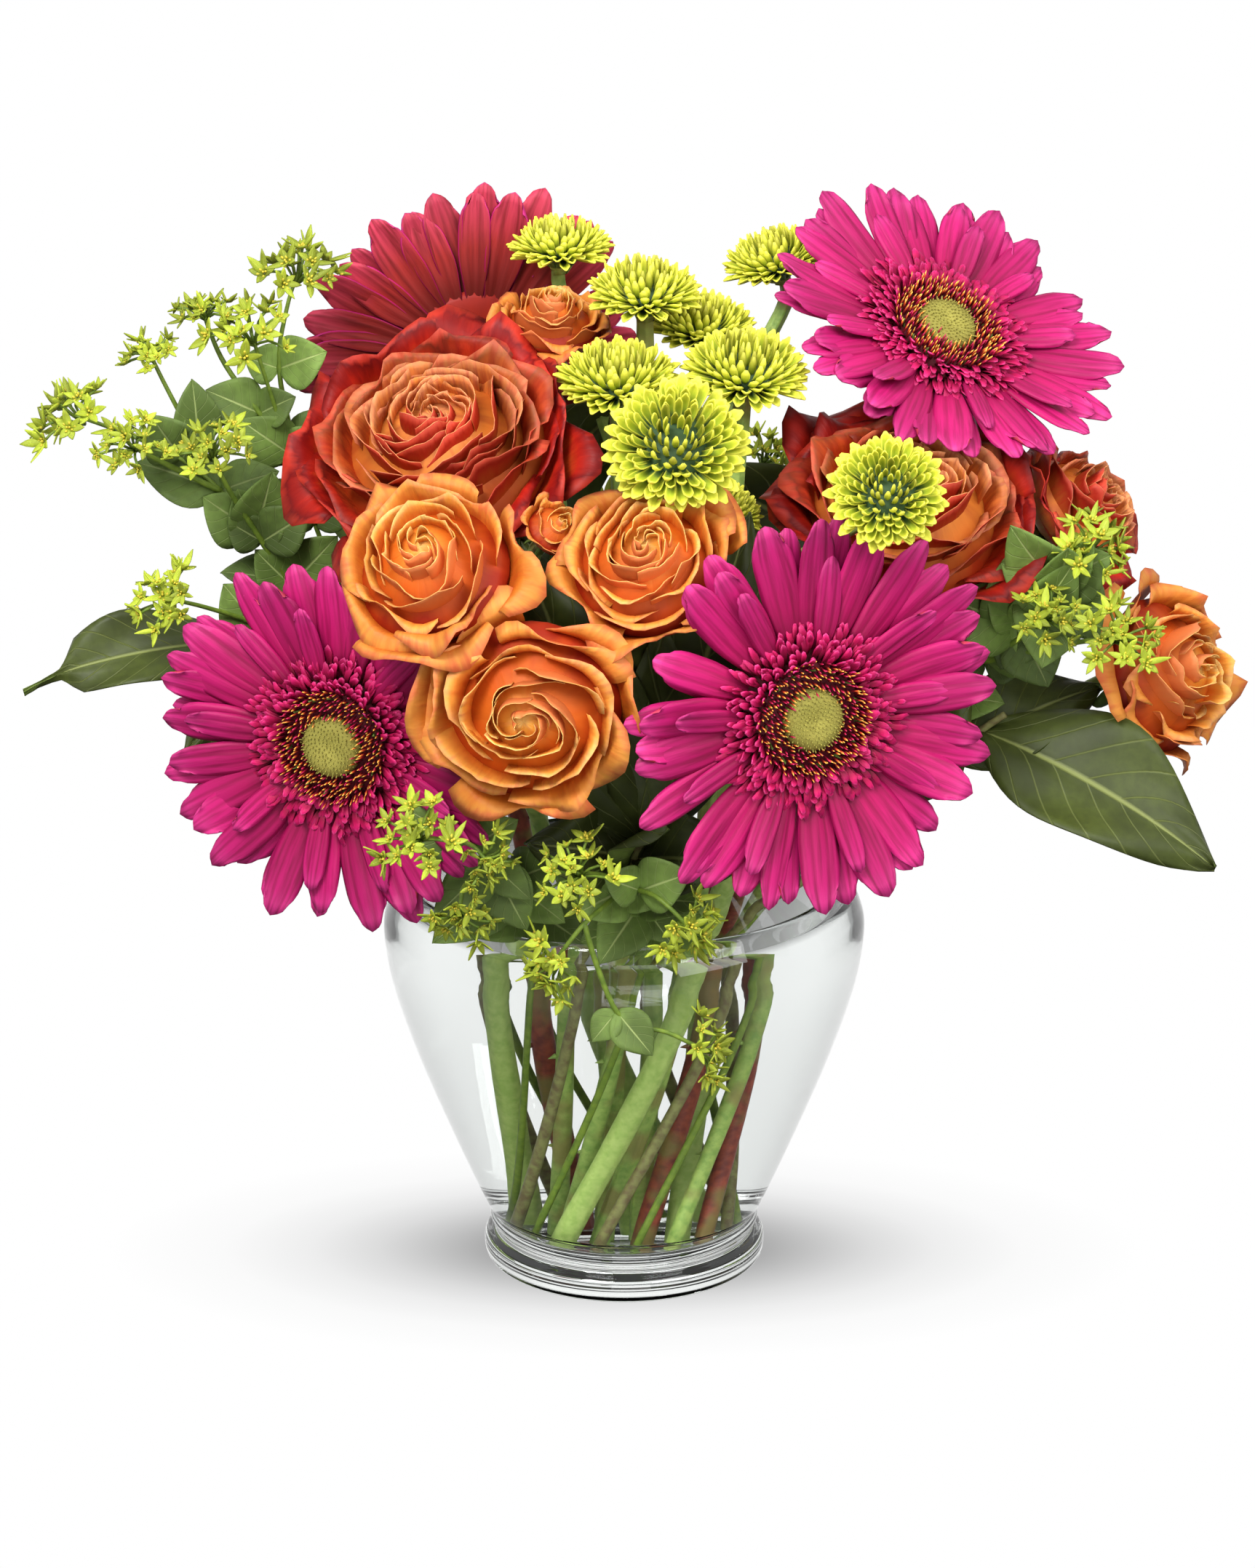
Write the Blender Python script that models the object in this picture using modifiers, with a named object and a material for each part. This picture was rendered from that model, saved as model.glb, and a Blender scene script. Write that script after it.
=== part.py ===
"""Roses, gerberas, button chrysanthemums and thorow-wax, cut and standing in a footed glass vase.

Sizes and places are in millimetres, and become metres as each mesh is made. The origin is the middle
of the vase's flat underside, +Z is up, and -Y is the side that the flowers are arranged to face.
"""
import math

import bmesh
import bpy
import numpy as np
from mathutils import Matrix, Vector

MM = 0.001
GAP = 0.3                          # left between pieces that touch
GOLDEN = math.radians(137.5)       # turn from one petal of a spiral to the next
RAY_THICKNESS = 1.3                # at the keel under a gerbera's ray
PETAL_THICKNESS = 1.1
LEAF_THICKNESS = 1.1
LEAF_FOLD = 0.16                   # rise of a leaf's edges, as a share of its half width
SMALL_LEAF = 10.0                  # leaves of less than this half width have fewer faces

# The vase: radius and height down the outside of the glass, rim to underside.
RIM_HEIGHT = 121.5
VASE_SIDES = 20
GLASS = 3.0
FLOOR = 12.0                       # top of the thick glass floor
VASE_WALL = [(66.5, 118.0), (69.5, 112.0), (70.8, 104.5), (68.6, 89.0), (62.0, 68.0), (53.0, 45.0),
             (42.2, 19.5)]
VASE_FOOT = [(39.3, 15.6), (40.3, 12.8), (38.5, 10.0), (41.6, 7.2), (41.8, 3.0), (38.6, 0.0)]
RIM_OUTER, RIM_INNER = 64.6, 62.4
FLOOR_RADIUS = 31.5
WATER_TOP = 115.0
STEM_HOLE = 0.45                   # water stands back from a stem by this much

# Stems stand in the vase as florists set them, in three turned rings that never cross: radius of the
# ring at the water's surface, radius at the vase's floor, and the turn between the two.
RINGS = {"outer": (44.0, 27.0), "middle": (28.0, 16.0), "inner": (10.0, 5.0)}
TURN = math.radians(75)
STRAIGHT_TOP = 117.0               # stems are straight up to here
NECK = 9.0                         # straight end of a stem, in line with the head that it carries

# What the stems keep clear of when they are settled above the water.
HEAD_CLEARANCE = 1.0
STEM_CLEARANCE = 1.2
RAY_SPREAD = 6.0                   # a gerbera's rays take up this much on each side of their plane
CUP_DEPTH, CUP_RADIUS = 14.0, 8.0  # the green cup behind a gerbera
UMBEL_BULK = 0.8                   # share of an umbel's size that counts as solid
SETTLING = 160                     # rounds of pushing


class Bloom:
    """A flower head: the middle of its face, the way it faces, its radius and its depth behind the face."""

    def __init__(self, kind, at, facing, radius, spin=0.0):
        self.kind = kind
        self.at = Vector(at)
        self.facing = Vector(facing).normalized()
        self.radius = radius
        self.spin = math.radians(spin)
        self.depth = {"gerbera": 7.0, "rose": 0.55 * radius, "mum": 0.45 * radius}[kind]
        self.base = self.at - self.facing * self.depth


GERBERAS = {
    "front_right": Bloom("gerbera", (51.5, -88, 197), (0.37, -0.93, 0.05), 56),
    "front_left": Bloom("gerbera", (-81, -68, 182.5), (-0.38, -0.92, 0.01), 53, 5),
    "top_right": Bloom("gerbera", (92, 8.5, 283.5), (0.36, -0.48, 0.80), 52, 3),
    "top_left": Bloom("gerbera", (-44, 46, 266.5), (-0.15, 0.97, 0.17), 52, 8),
}
ROSES = {
    "large_left": Bloom("rose", (-52, -35.5, 263), (-0.13, -0.63, 0.76), 42),
    "large_right": Bloom("rose", (81.5, -31.5, 244.2), (0.17, -0.60, 0.78), 39.5, 70),
    "side_right": Bloom("rose", (134, 0, 232.5), (0.76, -0.30, 0.58), 26, 50),
    "spray_left": Bloom("rose", (-53.5, -84.8, 241.5), (-0.24, -0.66, 0.71), 29.7, 40),
    "spray_middle": Bloom("rose", (6.5, -84.5, 242.2), (-0.04, -0.70, 0.71), 28.6, 100),
    "spray_front": Bloom("rose", (-26, -103.5, 203), (-0.14, -0.98, 0.11), 34, 160),
    "spray_top": Bloom("rose", (-20, 4, 288), (0.09, -0.19, 0.98), 19.5, 10),
    "spray_right": Bloom("rose", (158.5, -25, 190), (0.79, -0.54, 0.27), 31, 55),
    "spray_bud": Bloom("rose", (-18, -69.5, 246.3), (0.45, -0.58, 0.68), 10.5, 0),
}
ROSE_PETALS = {"large_left": 11, "large_right": 10, "side_right": 7, "spray_left": 8, "spray_middle": 8,
               "spray_front": 8, "spray_top": 6, "spray_right": 8, "spray_bud": 4}
MUMS = {
    "crown": Bloom("mum", (-18.4, 24.5, 305.5), (0.0, -0.05, 1.0), 15.3),
    "left": Bloom("mum", (6, -4, 299), (0.0, -0.16, 0.99), 16.6, 50),
    "low_left": Bloom("mum", (-1.5, -26, 279.5), (0.0, -0.22, 0.97), 18, 100),
    "behind": Bloom("mum", (22.5, 9, 286), (0.09, -0.16, 0.98), 15.6, 150),
    "right": Bloom("mum", (34.5, -22, 281), (0.08, -0.28, 0.96), 18.3, 200),
    "middle": Bloom("mum", (14.5, -75.2, 272.4), (0.05, -0.80, 0.60), 20, 250),
    "front": Bloom("mum", (71, -90, 263), (0.0, -0.82, 0.57), 16.6, 300),
    "far": Bloom("mum", (43, 36, 299), (-0.26, -0.12, 0.96), 15.6, 350),
    "half_hidden": Bloom("mum", (31, -34, 243), (0.52, -0.25, 0.82), 10, 30),
}
BLOOMS = {**{"gerbera_" + name: bloom for name, bloom in GERBERAS.items()},
          **{"rose_" + name: bloom for name, bloom in ROSES.items()},
          **{"mum_" + name: bloom for name, bloom in MUMS.items()}}


class Shoot:
    """One run of a stem: where it starts on the stem, the points that it passes, and what it carries.

    start is the number of an earlier run and of a point on it; a run with no start leaves the vase.
    head names a bloom, and umbel is the size of a cluster of star-shaped bracts.
    """

    def __init__(self, start=None, via=(), head=None, umbel=0.0):
        self.start = start
        self.via = [Vector(point) for point in via]
        self.head = head
        self.umbel = umbel


class Leaf:
    """A leaf: the run and the point that it grows from, the way to its tip, its half width and its face."""

    def __init__(self, run, point, reach, width, face=(0, 0, 1)):
        self.run = run
        self.point = point
        self.reach = Vector(reach)
        self.width = width
        self.face = Vector(face)


class Stem:
    """A cut stem: its ring and bearing in the vase, its radius, and the shoots and leaves that it bears."""

    def __init__(self, ring, bearing, radius, shoots, colour="stem_green", leaves=()):
        self.ring = ring
        self.bearing = math.radians(bearing)
        self.radius = radius
        self.shoots = shoots
        self.colour = colour
        self.leaves = leaves


def shoots_to(*heads):
    """The runs of a stem that ends at the first head, with a fork to each of the others."""
    fork = 4
    return [Shoot(head=heads[0])] + [Shoot(start=(0, fork), head=head) for head in heads[1:]]


STEMS = {
    "gerbera_front_left_stem": Stem("outer", -146, 3.3, shoots_to("gerbera_front_left")),
    "gerbera_front_right_stem": Stem("outer", -56, 3.3, shoots_to("gerbera_front_right")),
    "gerbera_top_right_stem": Stem("middle", 40, 3.2, shoots_to("gerbera_top_right")),
    "gerbera_top_left_stem": Stem("outer", 124, 3.2, shoots_to("gerbera_top_left")),
    "rose_large_left_stem": Stem("middle", -160, 3.0, shoots_to("rose_large_left"), "stem_brown"),
    "rose_large_right_stem": Stem("middle", 0, 3.0, shoots_to("rose_large_right"), "stem_brown"),
    "rose_side_right_stem": Stem("outer", 34, 2.6, shoots_to("rose_side_right"), "stem_brown"),
    "spray_rose_left_stem": Stem("middle", -120, 2.4, shoots_to("rose_spray_left", "rose_spray_bud")),
    "spray_rose_front_stem": Stem("middle", -80, 2.4, shoots_to("rose_spray_middle", "rose_spray_front")),
    "spray_rose_top_stem": Stem("inner", 150, 2.2, shoots_to("rose_spray_top")),
    "spray_rose_right_stem": Stem("outer", 12, 2.3, shoots_to("rose_spray_right")),
    "mum_back_stem": Stem("inner", 30, 2.4, shoots_to("mum_left", "mum_crown", "mum_behind", "mum_far")),
    "mum_front_stem": Stem("inner", -90, 2.4, shoots_to("mum_low_left", "mum_middle", "mum_half_hidden")),
    "mum_right_stem": Stem("middle", -40, 2.4, shoots_to("mum_right", "mum_front")),
    "thorow_wax_left": Stem("outer", 169, 1.4, [
        Shoot(via=[(-66, 6, 150), (-86, 2, 190), (-106, -4, 226), (-126, -6, 248), (-157, -2, 260)],
              umbel=13),
        Shoot((0, 6), [(-112, -12, 240), (-117, -18, 254)], umbel=12),
        Shoot((0, 8), [(-134, -14, 251), (-139, -20, 256)], umbel=11),
        Shoot((0, 6), [(-122, 2, 250), (-135, 2, 277)], umbel=8),
        Shoot((0, 4), [(-104, -16, 201), (-129, -34, 215)], umbel=12),
    ], "thorow_wax", [Leaf(0, 8, (-24, 2, 8), 9, (0.2, -0.8, 0.5)), Leaf(3, 2, (-1, -2, 20), 7, (0.3, -1, 0)),
                      Leaf(0, 6, (14, -8, 17), 9, (0, -1, 0.2)), Leaf(0, 6, (-20, -4, 5), 8, (0, -0.6, 1)),
                      Leaf(0, 5, (18, -6, 12), 9, (0, -1, 0.4)), Leaf(0, 5, (-20, -6, 9), 9, (0, -1, 0.3)),
                      Leaf(0, 7, (6, -8, 20), 9, (0.3, -1, 0.1)), Leaf(4, 1, (-16, -8, 14), 8, (0, -1, 0.5)),
                      Leaf(1, 1, (14, -4, 10), 8, (0, -1, 0.2))]),
    "thorow_wax_upper_left": Stem("outer", 147, 1.4, [
        Shoot(via=[(-60, 24, 155), (-82, 18, 200), (-96, 10, 245), (-106, 2, 283)], umbel=13),
        Shoot((0, 6), [(-99, 12, 270), (-93, 15, 298)], umbel=13),
        Shoot((0, 7), [(-114, 8, 272), (-120, 8, 288)], umbel=9),
    ], "thorow_wax", [Leaf(0, 6, (-17, -3, 14), 8, (0, -1, 0.4)), Leaf(0, 7, (17, 2, 12), 8, (0, -1, 0.4)),
                      Leaf(0, 5, (-18, -6, 8), 8, (0, -1, 0.5)), Leaf(0, 5, (10, 8, 22), 8, (0, -1, 0)),
                      Leaf(1, 1, (15, -4, 9), 8, (0, -1, 0.3)), Leaf(2, 1, (-15, -4, 8), 8, (0, -1, 0.4))]),
    "thorow_wax_front_left": Stem("outer", -123, 1.3, [
        Shoot(via=[(-32, -56, 138), (-43, -78, 156), (-56, -106, 170)], umbel=12),
        Shoot((0, 4), [(-44, -90, 150), (-45, -96, 142)], umbel=10),
        Shoot((0, 5), [(-44, -96, 164), (-37, -102, 163)], umbel=9),
    ], "thorow_wax", [Leaf(0, 4, (-16, -12, -12), 7, (0, -1, 0.3)),
                      Leaf(0, 3, (14, -12, 10), 8, (0, -1, 0.6))]),
    "thorow_wax_front": Stem("outer", -78, 1.3, [
        Shoot(via=[(5, -62, 134), (-4, -82, 149), (-13, -101, 157)], umbel=12),
        Shoot((0, 4), [(9, -90, 146), (18, -95, 139)], umbel=12),
        Shoot((0, 4), [(-11, -90, 138), (-20, -91, 126)], umbel=12),
        Shoot((2, 2), [(-2, -90, 112), (12, -88, 105), (23, -87, 99)], umbel=12),
    ], "thorow_wax", [Leaf(3, 2, (10, -3, -12), 6, (0, -1, 0.4)), Leaf(0, 4, (-14, -10, -4), 8, (0, -1, 0.4)),
                      Leaf(0, 3, (18, -12, 4), 8, (0, -0.8, 1))]),
    "thorow_wax_right": Stem("outer", -11, 1.4, [
        Shoot(via=[(66, -12, 146), (92, -22, 182), (112, -34, 206), (128, -38, 232)], umbel=13),
        Shoot((0, 6), [(116, -44, 210), (118, -50, 216)], umbel=11),
        Shoot((0, 6), [(128, -46, 206), (139, -53, 209)], umbel=12),
    ], "thorow_wax", [Leaf(0, 6, (-14, -6, 16), 8, (0, -1, 0.3)), Leaf(0, 6, (6, -8, 22), 8, (-0.4, -1, 0)),
                      Leaf(0, 5, (16, -12, 2), 8, (0, -1, 0.6)), Leaf(0, 7, (-12, 2, 14), 7, (0, -1, 0))]),
    "thorow_wax_back": Stem("outer", 79, 1.4, [
        Shoot(via=[(12, 62, 155), (18, 74, 200), (14, 82, 236)], umbel=13),
        Shoot((0, 4), [(32, 80, 212), (44, 84, 224)], umbel=12),
        Shoot((0, 3), [(2, 82, 190), (-8, 92, 204)], umbel=12),
    ], "thorow_wax", [Leaf(0, 4, (-18, 6, 14), 9, (0, 1, 0.3)), Leaf(0, 3, (20, 8, 10), 9, (0, 1, 0.4))]),
    "leaves_right": Stem("outer", -33, 1.7, [Shoot(via=[(66, -26, 138), (92, -34, 168), (108, -38, 182)])],
                         "leaf_green", [Leaf(0, 6, (65, -24, -33), 20, (0.25, -0.75, 0.6)),
                                        Leaf(0, 5, (44, 10, 18), 14, (0.1, -0.7, 0.8)),
                                        Leaf(0, 4, (16, -10, 42), 13, (-0.3, -1, 0.1))]),
    "leaves_left": Stem("outer", -168, 1.7,
                        [Shoot(via=[(-78, -10, 150), (-104, -12, 188), (-114, -12, 199)])],
                        "leaf_green", [Leaf(0, 6, (-62, -8, -11), 12, (0, -0.7, 0.7)),
                                       Leaf(0, 5, (-22, -12, -22), 8, (0, -1, 0.3)),
                                       Leaf(0, 4, (24, -8, 46), 13, (0, -1, 0))]),
    "leaves_front": Stem("outer", -101, 1.7, [Shoot(via=[(-4, -56, 130), (3, -64, 148), (6, -66, 156)])],
                         "leaf_green", [Leaf(0, 6, (6, -18, 12), 13, (0, -0.7, 0.7)),
                                        Leaf(0, 6, (6, 2, 46), 12, (0, -1, 0.1)),
                                        Leaf(0, 5, (30, -14, 4), 12, (0, -0.9, 0.5)),
                                        Leaf(0, 5, (-30, -10, 8), 11, (0, -0.9, 0.5))]),
    "leaves_back_right": Stem("outer", 57, 1.7, [Shoot(via=[(44, 54, 150), (62, 62, 186), (68, 62, 214)])],
                              "leaf_green", [Leaf(0, 6, (10, 10, 44), 17, (0.2, 1, 0.2)),
                                             Leaf(0, 4, (46, 20, 14), 17, (0.2, 0.8, 0.6)),
                                             Leaf(0, 5, (-34, 24, 12), 14, (0, 1, 0.5))]),
    "leaves_back_left": Stem("outer", 102, 1.7, [Shoot(via=[(-30, 60, 150), (-52, 68, 182), (-60, 68, 200)])],
                             "leaf_green", [Leaf(0, 6, (-40, 10, 30), 16, (-0.2, 1, 0.3)),
                                            Leaf(0, 4, (-34, 26, -6), 15, (0, 0.8, 0.7)),
                                            Leaf(0, 5, (26, 22, 16), 14, (0, 1, 0.4))]),
}


# Placing

def turned(radius, angle, height):
    return Vector((radius * math.cos(angle), radius * math.sin(angle), height))


def facing_frame(point, facing, spin=0.0):
    """Matrix that carries a head made round +Z to its place, turned to its facing."""
    side = Vector((0, 0, 1)).cross(facing)
    if side.length < 0.05:
        side = Vector((1, 0, 0)).cross(facing)
    side.normalize()
    up = facing.cross(side)
    turn = Matrix((side, up, facing)).transposed().to_4x4()
    return Matrix.Translation(point) @ turn @ Matrix.Rotation(spin, 4, "Z")


def straight_run(stem):
    """Where a stem stands on the vase's floor and where it leaves the straight part."""
    mouth_radius, foot_radius = RINGS[stem.ring]
    foot = turned(foot_radius, stem.bearing - TURN, FLOOR + GAP)
    mouth = turned(mouth_radius, stem.bearing, STRAIGHT_TOP)
    return foot, mouth


def hermite(start, start_way, end, end_way, count):
    """Points along a smooth curve that leaves start along start_way and reaches end along end_way."""
    points = []
    for i in range(count + 1):
        t = i / count
        points.append(start * (2 * t ** 3 - 3 * t ** 2 + 1) + start_way * (t ** 3 - 2 * t ** 2 + t)
                      + end * (3 * t ** 2 - 2 * t ** 3) + end_way * (t ** 3 - t ** 2))
    return points


def bent(start, start_way, end, facing, count):
    """A stem's curve from one point to a head's base; its last piece lies along the head's axis."""
    neck = end - facing * NECK
    reach = (neck - start).length
    return hermite(start, start_way * reach * 0.9, neck, facing * reach * 0.7, count) + [end]


# Routes of the stems above the water, pushed clear of heads, of each other and of the glass.

class Route:
    def __init__(self, stem_name, radius, points, held):
        self.stem_name = stem_name
        self.radius = radius
        self.points = points
        self.held = held


def through(points, steps=2):
    """A smooth curve through the points, each span cut into steps."""
    curve = []
    for i in range(len(points) - 1):
        before = points[max(i - 1, 0)]
        after = points[min(i + 2, len(points) - 1)]
        way_in = (points[i + 1] - before) / 2
        way_out = (after - points[i]) / 2
        curve += hermite(points[i], way_in, points[i + 1], way_out, steps)[:-1]
    return curve + [points[-1]]


def first_routes():
    routes = {}
    for name, stem in STEMS.items():
        for number, shoot in enumerate(stem.shoots):
            if shoot.start is None:
                foot, start = straight_run(stem)
                way = (start - foot).normalized()
                lead, radius, count = [foot], stem.radius, 5
            else:
                run, at = shoot.start
                trunk = routes[name, run].points
                start = trunk[at]
                way = (trunk[min(at + 1, len(trunk) - 1)] - trunk[at - 1]).normalized()
                lead, radius, count = [], stem.radius * 0.85, 3
            if shoot.head:
                bloom = BLOOMS[shoot.head]
                points = lead + bent(start, way, bloom.base, bloom.facing, count)
                held = [0, len(points) - 2, len(points) - 1]
            else:
                points = lead + through([start] + shoot.via)
                held = [0]
            if lead:
                held.append(1)
            routes[name, number] = Route(name, radius, points, held)
    return routes


def obstacles(routes):
    """Round-edged discs that stand for the heads: owner, middle, axis, disc radius and half thickness."""
    discs = []
    for bloom in BLOOMS.values():
        if bloom.kind == "gerbera":
            discs.append((None, bloom.at, bloom.facing, bloom.radius - RAY_SPREAD / 2, RAY_SPREAD))
            discs.append((None, bloom.at - bloom.facing * CUP_DEPTH, bloom.facing, RAY_SPREAD, CUP_RADIUS))
        elif bloom.kind == "rose":
            discs.append((None, bloom.at - bloom.facing * 0.08 * bloom.radius, bloom.facing,
                          bloom.radius * 0.58, bloom.radius * 0.46))
            discs.append((None, bloom.base - bloom.facing * 4, bloom.facing, 1.0, 7.0))
        else:
            discs.append((None, bloom.at, bloom.facing, bloom.radius * 0.6, bloom.radius * 0.48))
    for name, stem in STEMS.items():
        for number, shoot in enumerate(stem.shoots):
            if shoot.umbel:
                discs.append((name, routes[name, number].points[-1], Vector((0, 0, 1)), 1.0,
                              shoot.umbel * UMBEL_BULK))
    return discs


def settle(routes):
    """Moves the free points of every route until the stems clear what is round them."""
    names = list(STEMS)
    spots, owner, radius, bulk, free, smooth, links, first = [], [], [], [], [], [], [], {}
    for (name, number), route in routes.items():
        shoot = STEMS[name].shoots[number]
        first[name, number] = len(spots)
        last = len(route.points) - 1
        for i, point in enumerate(route.points):
            spots.append(point[:])
            owner.append(names.index(name))
            radius.append(route.radius)
            bulk.append(max(route.radius, shoot.umbel * UMBEL_BULK) if i == last else route.radius)
            free.append(i not in route.held)
            smooth.append(bool(shoot.head) and 0 < i < last)
            if i:
                links.append((len(spots) - 2, len(spots) - 1))
    spots, links = np.array(spots), np.array(links)
    owner, radius, bulk, free = np.array(owner), np.array(radius), np.array(bulk), np.array(free)
    smooth = np.flatnonzero(smooth)
    rows = np.arange(len(spots))
    discs = [(names.index(holder) if holder else -1, np.array(at), np.array(axis), size, half)
             for holder, at, axis, size, half in obstacles(routes)]
    wall = np.array([(RIM_OUTER - 1.1, RIM_HEIGHT)] + [(r - GLASS / 2, z) for r, z in VASE_WALL])
    leg = wall[1:] - wall[:-1]
    for turn in range(SETTLING):
        push = np.zeros_like(spots)
        for holder, at, axis, size, half in discs:
            away = spots - at
            height = away @ axis
            across = away - np.outer(height, axis)
            length = np.linalg.norm(across, axis=1, keepdims=True) + 1e-9
            away = away - across * np.minimum(1.0, size / length)
            far = np.linalg.norm(away, axis=1) + 1e-9
            lack = np.maximum(0.0, half + bulk + HEAD_CLEARANCE - far)
            lack[owner == holder] = 0.0
            push += away / far[:, None] * lack[:, None]
        start, end = spots[links[:, 0]], spots[links[:, 1]]
        along = end - start
        share = ((spots[:, None] - start) * along).sum(2) / ((along ** 2).sum(1) + 1e-9)
        away = spots[:, None] - start - np.clip(share, 0, 1)[:, :, None] * along
        far = np.linalg.norm(away, axis=2) + 1e-9
        lack = np.maximum(0.0, bulk[:, None] + radius[links[:, 0]] + STEM_CLEARANCE - far)
        lack[owner[:, None] == owner[links[:, 0]]] = 0.0
        push += (away / far[:, :, None] * lack[:, :, None]).sum(1) * 0.6
        ring = np.hypot(spots[:, 0], spots[:, 1]) + 1e-9
        flat = np.stack([ring, spots[:, 2]], axis=1)
        share = ((flat[:, None] - wall[:-1]) * leg).sum(2) / (leg ** 2).sum(1)
        away = flat[:, None] - wall[:-1] - np.clip(share, 0, 1)[:, :, None] * leg
        far = np.linalg.norm(away, axis=2) + 1e-9
        closest = far.argmin(1)
        lack = np.maximum(0.0, GLASS / 2 + radius + STEM_CLEARANCE - far[rows, closest])
        shift = away[rows, closest] * (lack / far[rows, closest])[:, None]
        push[:, :2] += spots[:, :2] * (shift[:, 0] / ring)[:, None]
        push[:, 2] += shift[:, 1]
        if turn < SETTLING * 0.8:
            push[smooth] += ((spots[smooth - 1] + spots[smooth + 1]) / 2 - spots[smooth]) * 0.18
        spots[free] += push[free] * 0.7
        for (name, number), low in first.items():
            fork = STEMS[name].shoots[number].start
            if fork:
                spots[low] = spots[first[name, fork[0]] + fork[1]]
    for key, low in first.items():
        routes[key].points = [Vector(spots[low + i]) for i in range(len(routes[key].points))]
    return routes


# Meshes

def new_object(name, bm, material):
    bmesh.ops.recalc_face_normals(bm, faces=bm.faces)
    bmesh.ops.scale(bm, vec=(MM, MM, MM), verts=bm.verts)
    mesh = bpy.data.meshes.new(name)
    bm.to_mesh(mesh)
    bm.free()
    mesh.materials.append(material)
    return bpy.data.objects.new(name, mesh)


def skin(bm, rings, start=None, end=None):
    """Joins rings of equal count; an end closes on a point, or with a flat face where none is given.

    The two broad faces of a blade are split into triangles alike, so that they never cross.
    """
    loops = [[bm.verts.new(point) for point in ring] for ring in rings]
    count = len(rings[0])
    for low, high in zip(loops, loops[1:]):
        for i in range(count):
            j = (i + 1) % count
            if i < count / 2:
                bm.faces.new((low[i], low[j], high[j]))
                bm.faces.new((low[i], high[j], high[i]))
            else:
                bm.faces.new((low[i], low[j], high[i]))
                bm.faces.new((low[j], high[j], high[i]))
    for loop, point in ((loops[0], start), (loops[-1], end)):
        if point is None:
            bm.faces.new(loop)
            continue
        apex = bm.verts.new(point)
        for i in range(count):
            bm.faces.new((loop[i], loop[(i + 1) % count], apex))


def tube(points, radii, sides, flat_foot=False):
    """A round stem through the points; flat_foot cuts its first two rings level."""
    rings = []
    side = None
    for i, point in enumerate(points):
        way = (points[min(i + 1, len(points) - 1)] - points[max(i - 1, 0)]).normalized()
        if side is None:
            side = Vector((0, 0, 1)).cross(way)
            side = side.normalized() if side.length > 0.05 else Vector((1, 0, 0))
        side = (side - way * side.dot(way)).normalized()
        other = way.cross(side)
        ring = [point + (side * math.cos(2 * math.pi * k / sides) + other * math.sin(2 * math.pi * k / sides))
                * radii[i] for k in range(sides)]
        if flat_foot and i < 2:
            run = (points[1] - points[0]).normalized()
            ring = [spot + run * ((point.z - spot.z) / run.z) for spot in ring]
        rings.append(ring)
    bm = bmesh.new()
    skin(bm, rings)
    return bm


def blade(spine, widths, face):
    """A leaf-shaped blade from a root point to a tip point, with a ridge along both faces.

    spine runs root to tip, widths are its half widths between them, and face is the way its upper
    side looks.
    """
    rings = []
    for i, width in enumerate(widths, 1):
        way = (spine[i + 1] - spine[i - 1]).normalized()
        side = way.cross(face).normalized()
        up = side.cross(way)
        lift = up * LEAF_FOLD * width
        rings.append([spine[i] - side * width + lift, spine[i] + up * LEAF_THICKNESS / 2,
                      spine[i] + side * width + lift, spine[i] - up * LEAF_THICKNESS / 2])
    bm = bmesh.new()
    skin(bm, rings, spine[0], spine[-1])
    return bm


def keeled(spine, widths, face):
    """A three-sided blade from a root point to a tip point: flat above, with a keel below."""
    rings = []
    for i, width in enumerate(widths, 1):
        way = (spine[i + 1] - spine[i - 1]).normalized()
        side = way.cross(face).normalized()
        keel = side.cross(way) * RAY_THICKNESS
        rings.append([spine[i] - side * width, spine[i] + side * width, spine[i] - keel])
    bm = bmesh.new()
    skin(bm, rings, spine[0], spine[-1])
    return bm


def join(name, bodies, material):
    """One solid from closed meshes that run into each other."""
    parts = [new_object(name + "_part", bm, material) for bm in bodies]
    base = parts[0]
    bpy.context.scene.collection.objects.link(base)
    if len(parts) > 1:
        others = bpy.data.collections.new(name + "_others")
        for part in parts[1:]:
            others.objects.link(part)
        union = base.modifiers.new("join", "BOOLEAN")
        union.operation = "UNION"
        union.operand_type = "COLLECTION"
        union.collection = others
        union.solver = "MANIFOLD"
    settled = base.evaluated_get(bpy.context.evaluated_depsgraph_get())
    mesh = bpy.data.meshes.new_from_object(settled)
    for part in parts:
        bpy.data.objects.remove(part)
    if len(parts) > 1:
        bpy.data.collections.remove(others)
    mesh.name = name
    return piece(name, mesh)


def piece(name, mesh):
    node = bpy.data.objects.new(name, mesh)
    ARRANGEMENT.objects.link(node)
    return node


def transformed(bm, matrix):
    bmesh.ops.transform(bm, matrix=matrix, verts=bm.verts)
    return bm


def finish(name, colour, roughness, metallic=0.0, clear=0.0):
    material = bpy.data.materials.new(name)
    material.use_nodes = True
    shader = material.node_tree.nodes["Principled BSDF"]
    shader.inputs["Base Color"].default_value = (*colour, 1.0)
    shader.inputs["Roughness"].default_value = roughness
    shader.inputs["Metallic"].default_value = metallic
    shader.inputs["Transmission Weight"].default_value = clear
    material.diffuse_color = (*colour, 1.0 - 0.7 * clear)
    return material


# Vase and water

def lathe(name, profile, material):
    """A turned solid; the profile runs from the axis up the inside, over, and down the outside."""
    mesh = bpy.data.meshes.new(name)
    points = [(radius * MM, 0.0, height * MM) for radius, height in profile]
    mesh.from_pydata(points, [(i, i + 1) for i in range(len(points) - 1)], [])
    mesh.materials.append(material)
    turned_solid = piece(name, mesh)
    screw = turned_solid.modifiers.new("turn", "SCREW")
    screw.steps = VASE_SIDES
    screw.render_steps = VASE_SIDES
    screw.use_merge_vertices = True
    screw.merge_threshold = 0.00001
    screw.use_smooth_shade = False
    return turned_solid


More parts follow.
